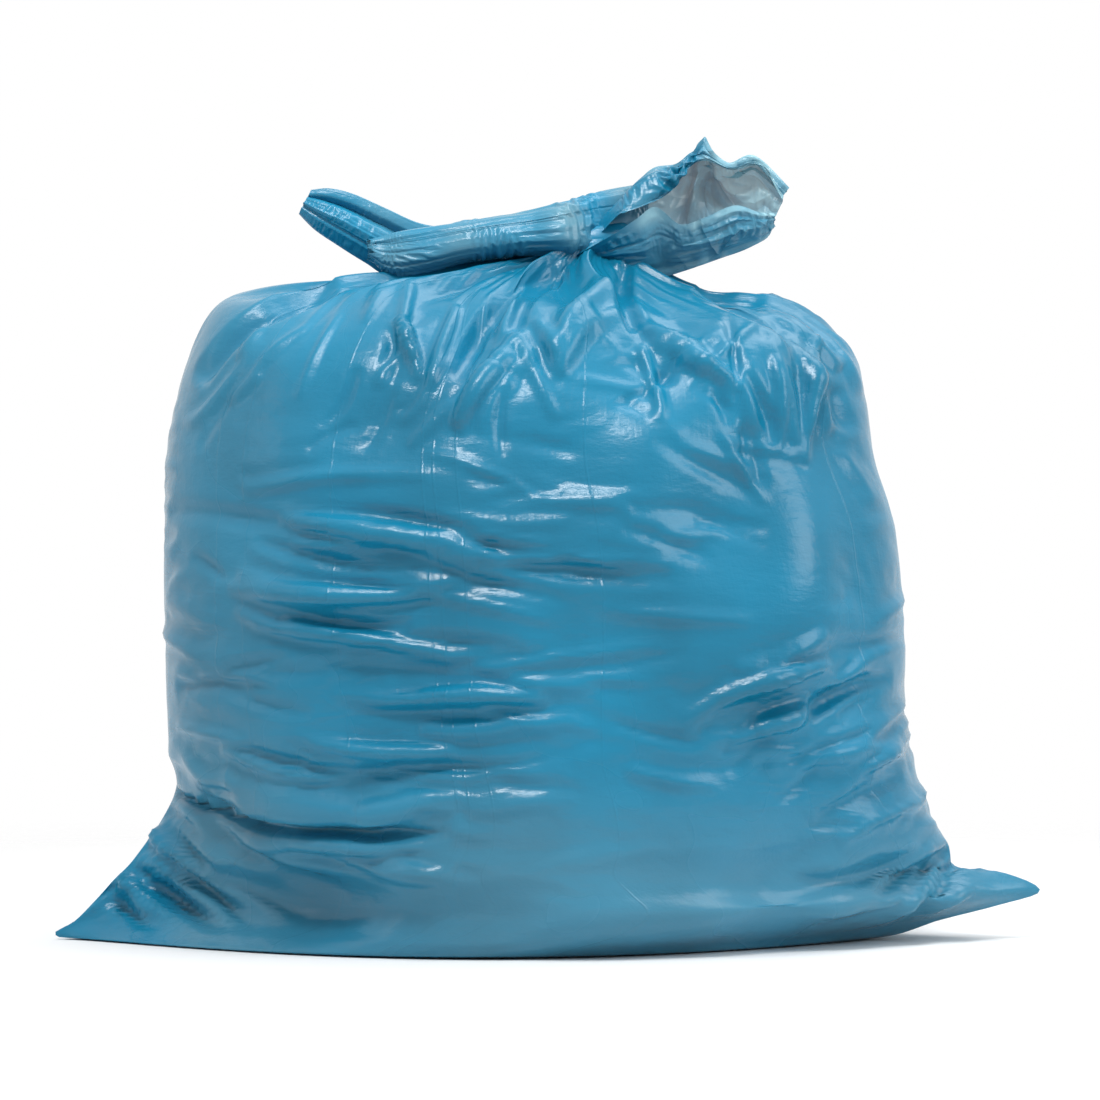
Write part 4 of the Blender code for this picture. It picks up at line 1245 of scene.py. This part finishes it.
class GARBAGE_BAG_OT_mouth(bpy.types.Operator):
    """Build the tied mouth: the left ear, the band, the turn round the neck and the right ear"""

    bl_idname = "garbage_bag.mouth"
    bl_label = "Build Mouth"

    def execute(self, context):
        sizes = context.scene.garbage_bag
        # The folded pieces are painted 18 % brighter than the body's film: painted light on the band and
        # the ears.
        painted_lit_film = tuple(1.18 * part for part in sizes.film_colour)
        # The right ear's film is painted twice as pale inside: painted light through it from the white
        # surroundings.
        painted_backlit_pale = tuple(2.0 * part for part in sizes.pale_colour)
        thick = film_material("film_folded", painted_lit_film, sizes.pale_colour)
        thin = film_material("film_single", sizes.film_colour, painted_backlit_pale, 0.12, grain=(0.8, 26.0, 0.8))
        for name, film, share in (
            ("bag_left_ear", left_ear_film(), 0.15),
            ("bag_band", band_film(), 0.30),
            ("bag_neck_wrap", wrap_film(), 0.0),
        ):
            add_sleeve(name, film, share, thick)
        add_hood(thin)
        return {"FINISHED"}


class GARBAGE_BAG_OT_stage(bpy.types.Operator):
    """Set up the pale floor, the lights, the white surroundings and the camera"""

    bl_idname = "garbage_bag.stage"
    bl_label = "Build Studio"

    def execute(self, context):
        scene = context.scene
        pale_floor()
        white_room(scene)
        for softbox in SOFTBOXES:
            add_softbox(*softbox)
        add_camera(scene)
        scene.view_settings.view_transform = "Standard"
        return {"FINISHED"}


class GARBAGE_BAG_PT_panel(bpy.types.Panel):
    """The bag's sizes and the buttons that build it"""

    bl_idname = "GARBAGE_BAG_PT_panel"
    bl_label = "Garbage Bag"
    bl_space_type = "VIEW_3D"
    bl_region_type = "UI"
    bl_category = "Bag"

    def draw(self, context):
        layout = self.layout
        sizes = context.scene.garbage_bag
        for name in ("slack", "pleat_depth", "film_colour", "pale_colour"):
            layout.prop(sizes, name)
        for button in (GARBAGE_BAG_OT_body, GARBAGE_BAG_OT_mouth, GARBAGE_BAG_OT_stage):
            layout.operator(button.bl_idname)


CLASSES = (
    BagSizes,
    GARBAGE_BAG_OT_body,
    GARBAGE_BAG_OT_mouth,
    GARBAGE_BAG_OT_stage,
    GARBAGE_BAG_PT_panel,
)


def register():
    for item in CLASSES:
        bpy.utils.register_class(item)
    bpy.types.Scene.garbage_bag = PointerProperty(type=BagSizes)


def unregister():
    del bpy.types.Scene.garbage_bag
    for item in reversed(CLASSES):
        bpy.utils.unregister_class(item)


def main():
    """Load the frame, build the bag and its studio."""
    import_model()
    register()
    bpy.ops.garbage_bag.body()
    bpy.ops.garbage_bag.mouth()
    bpy.ops.garbage_bag.stage()


if __name__ == "__main__":
    main()
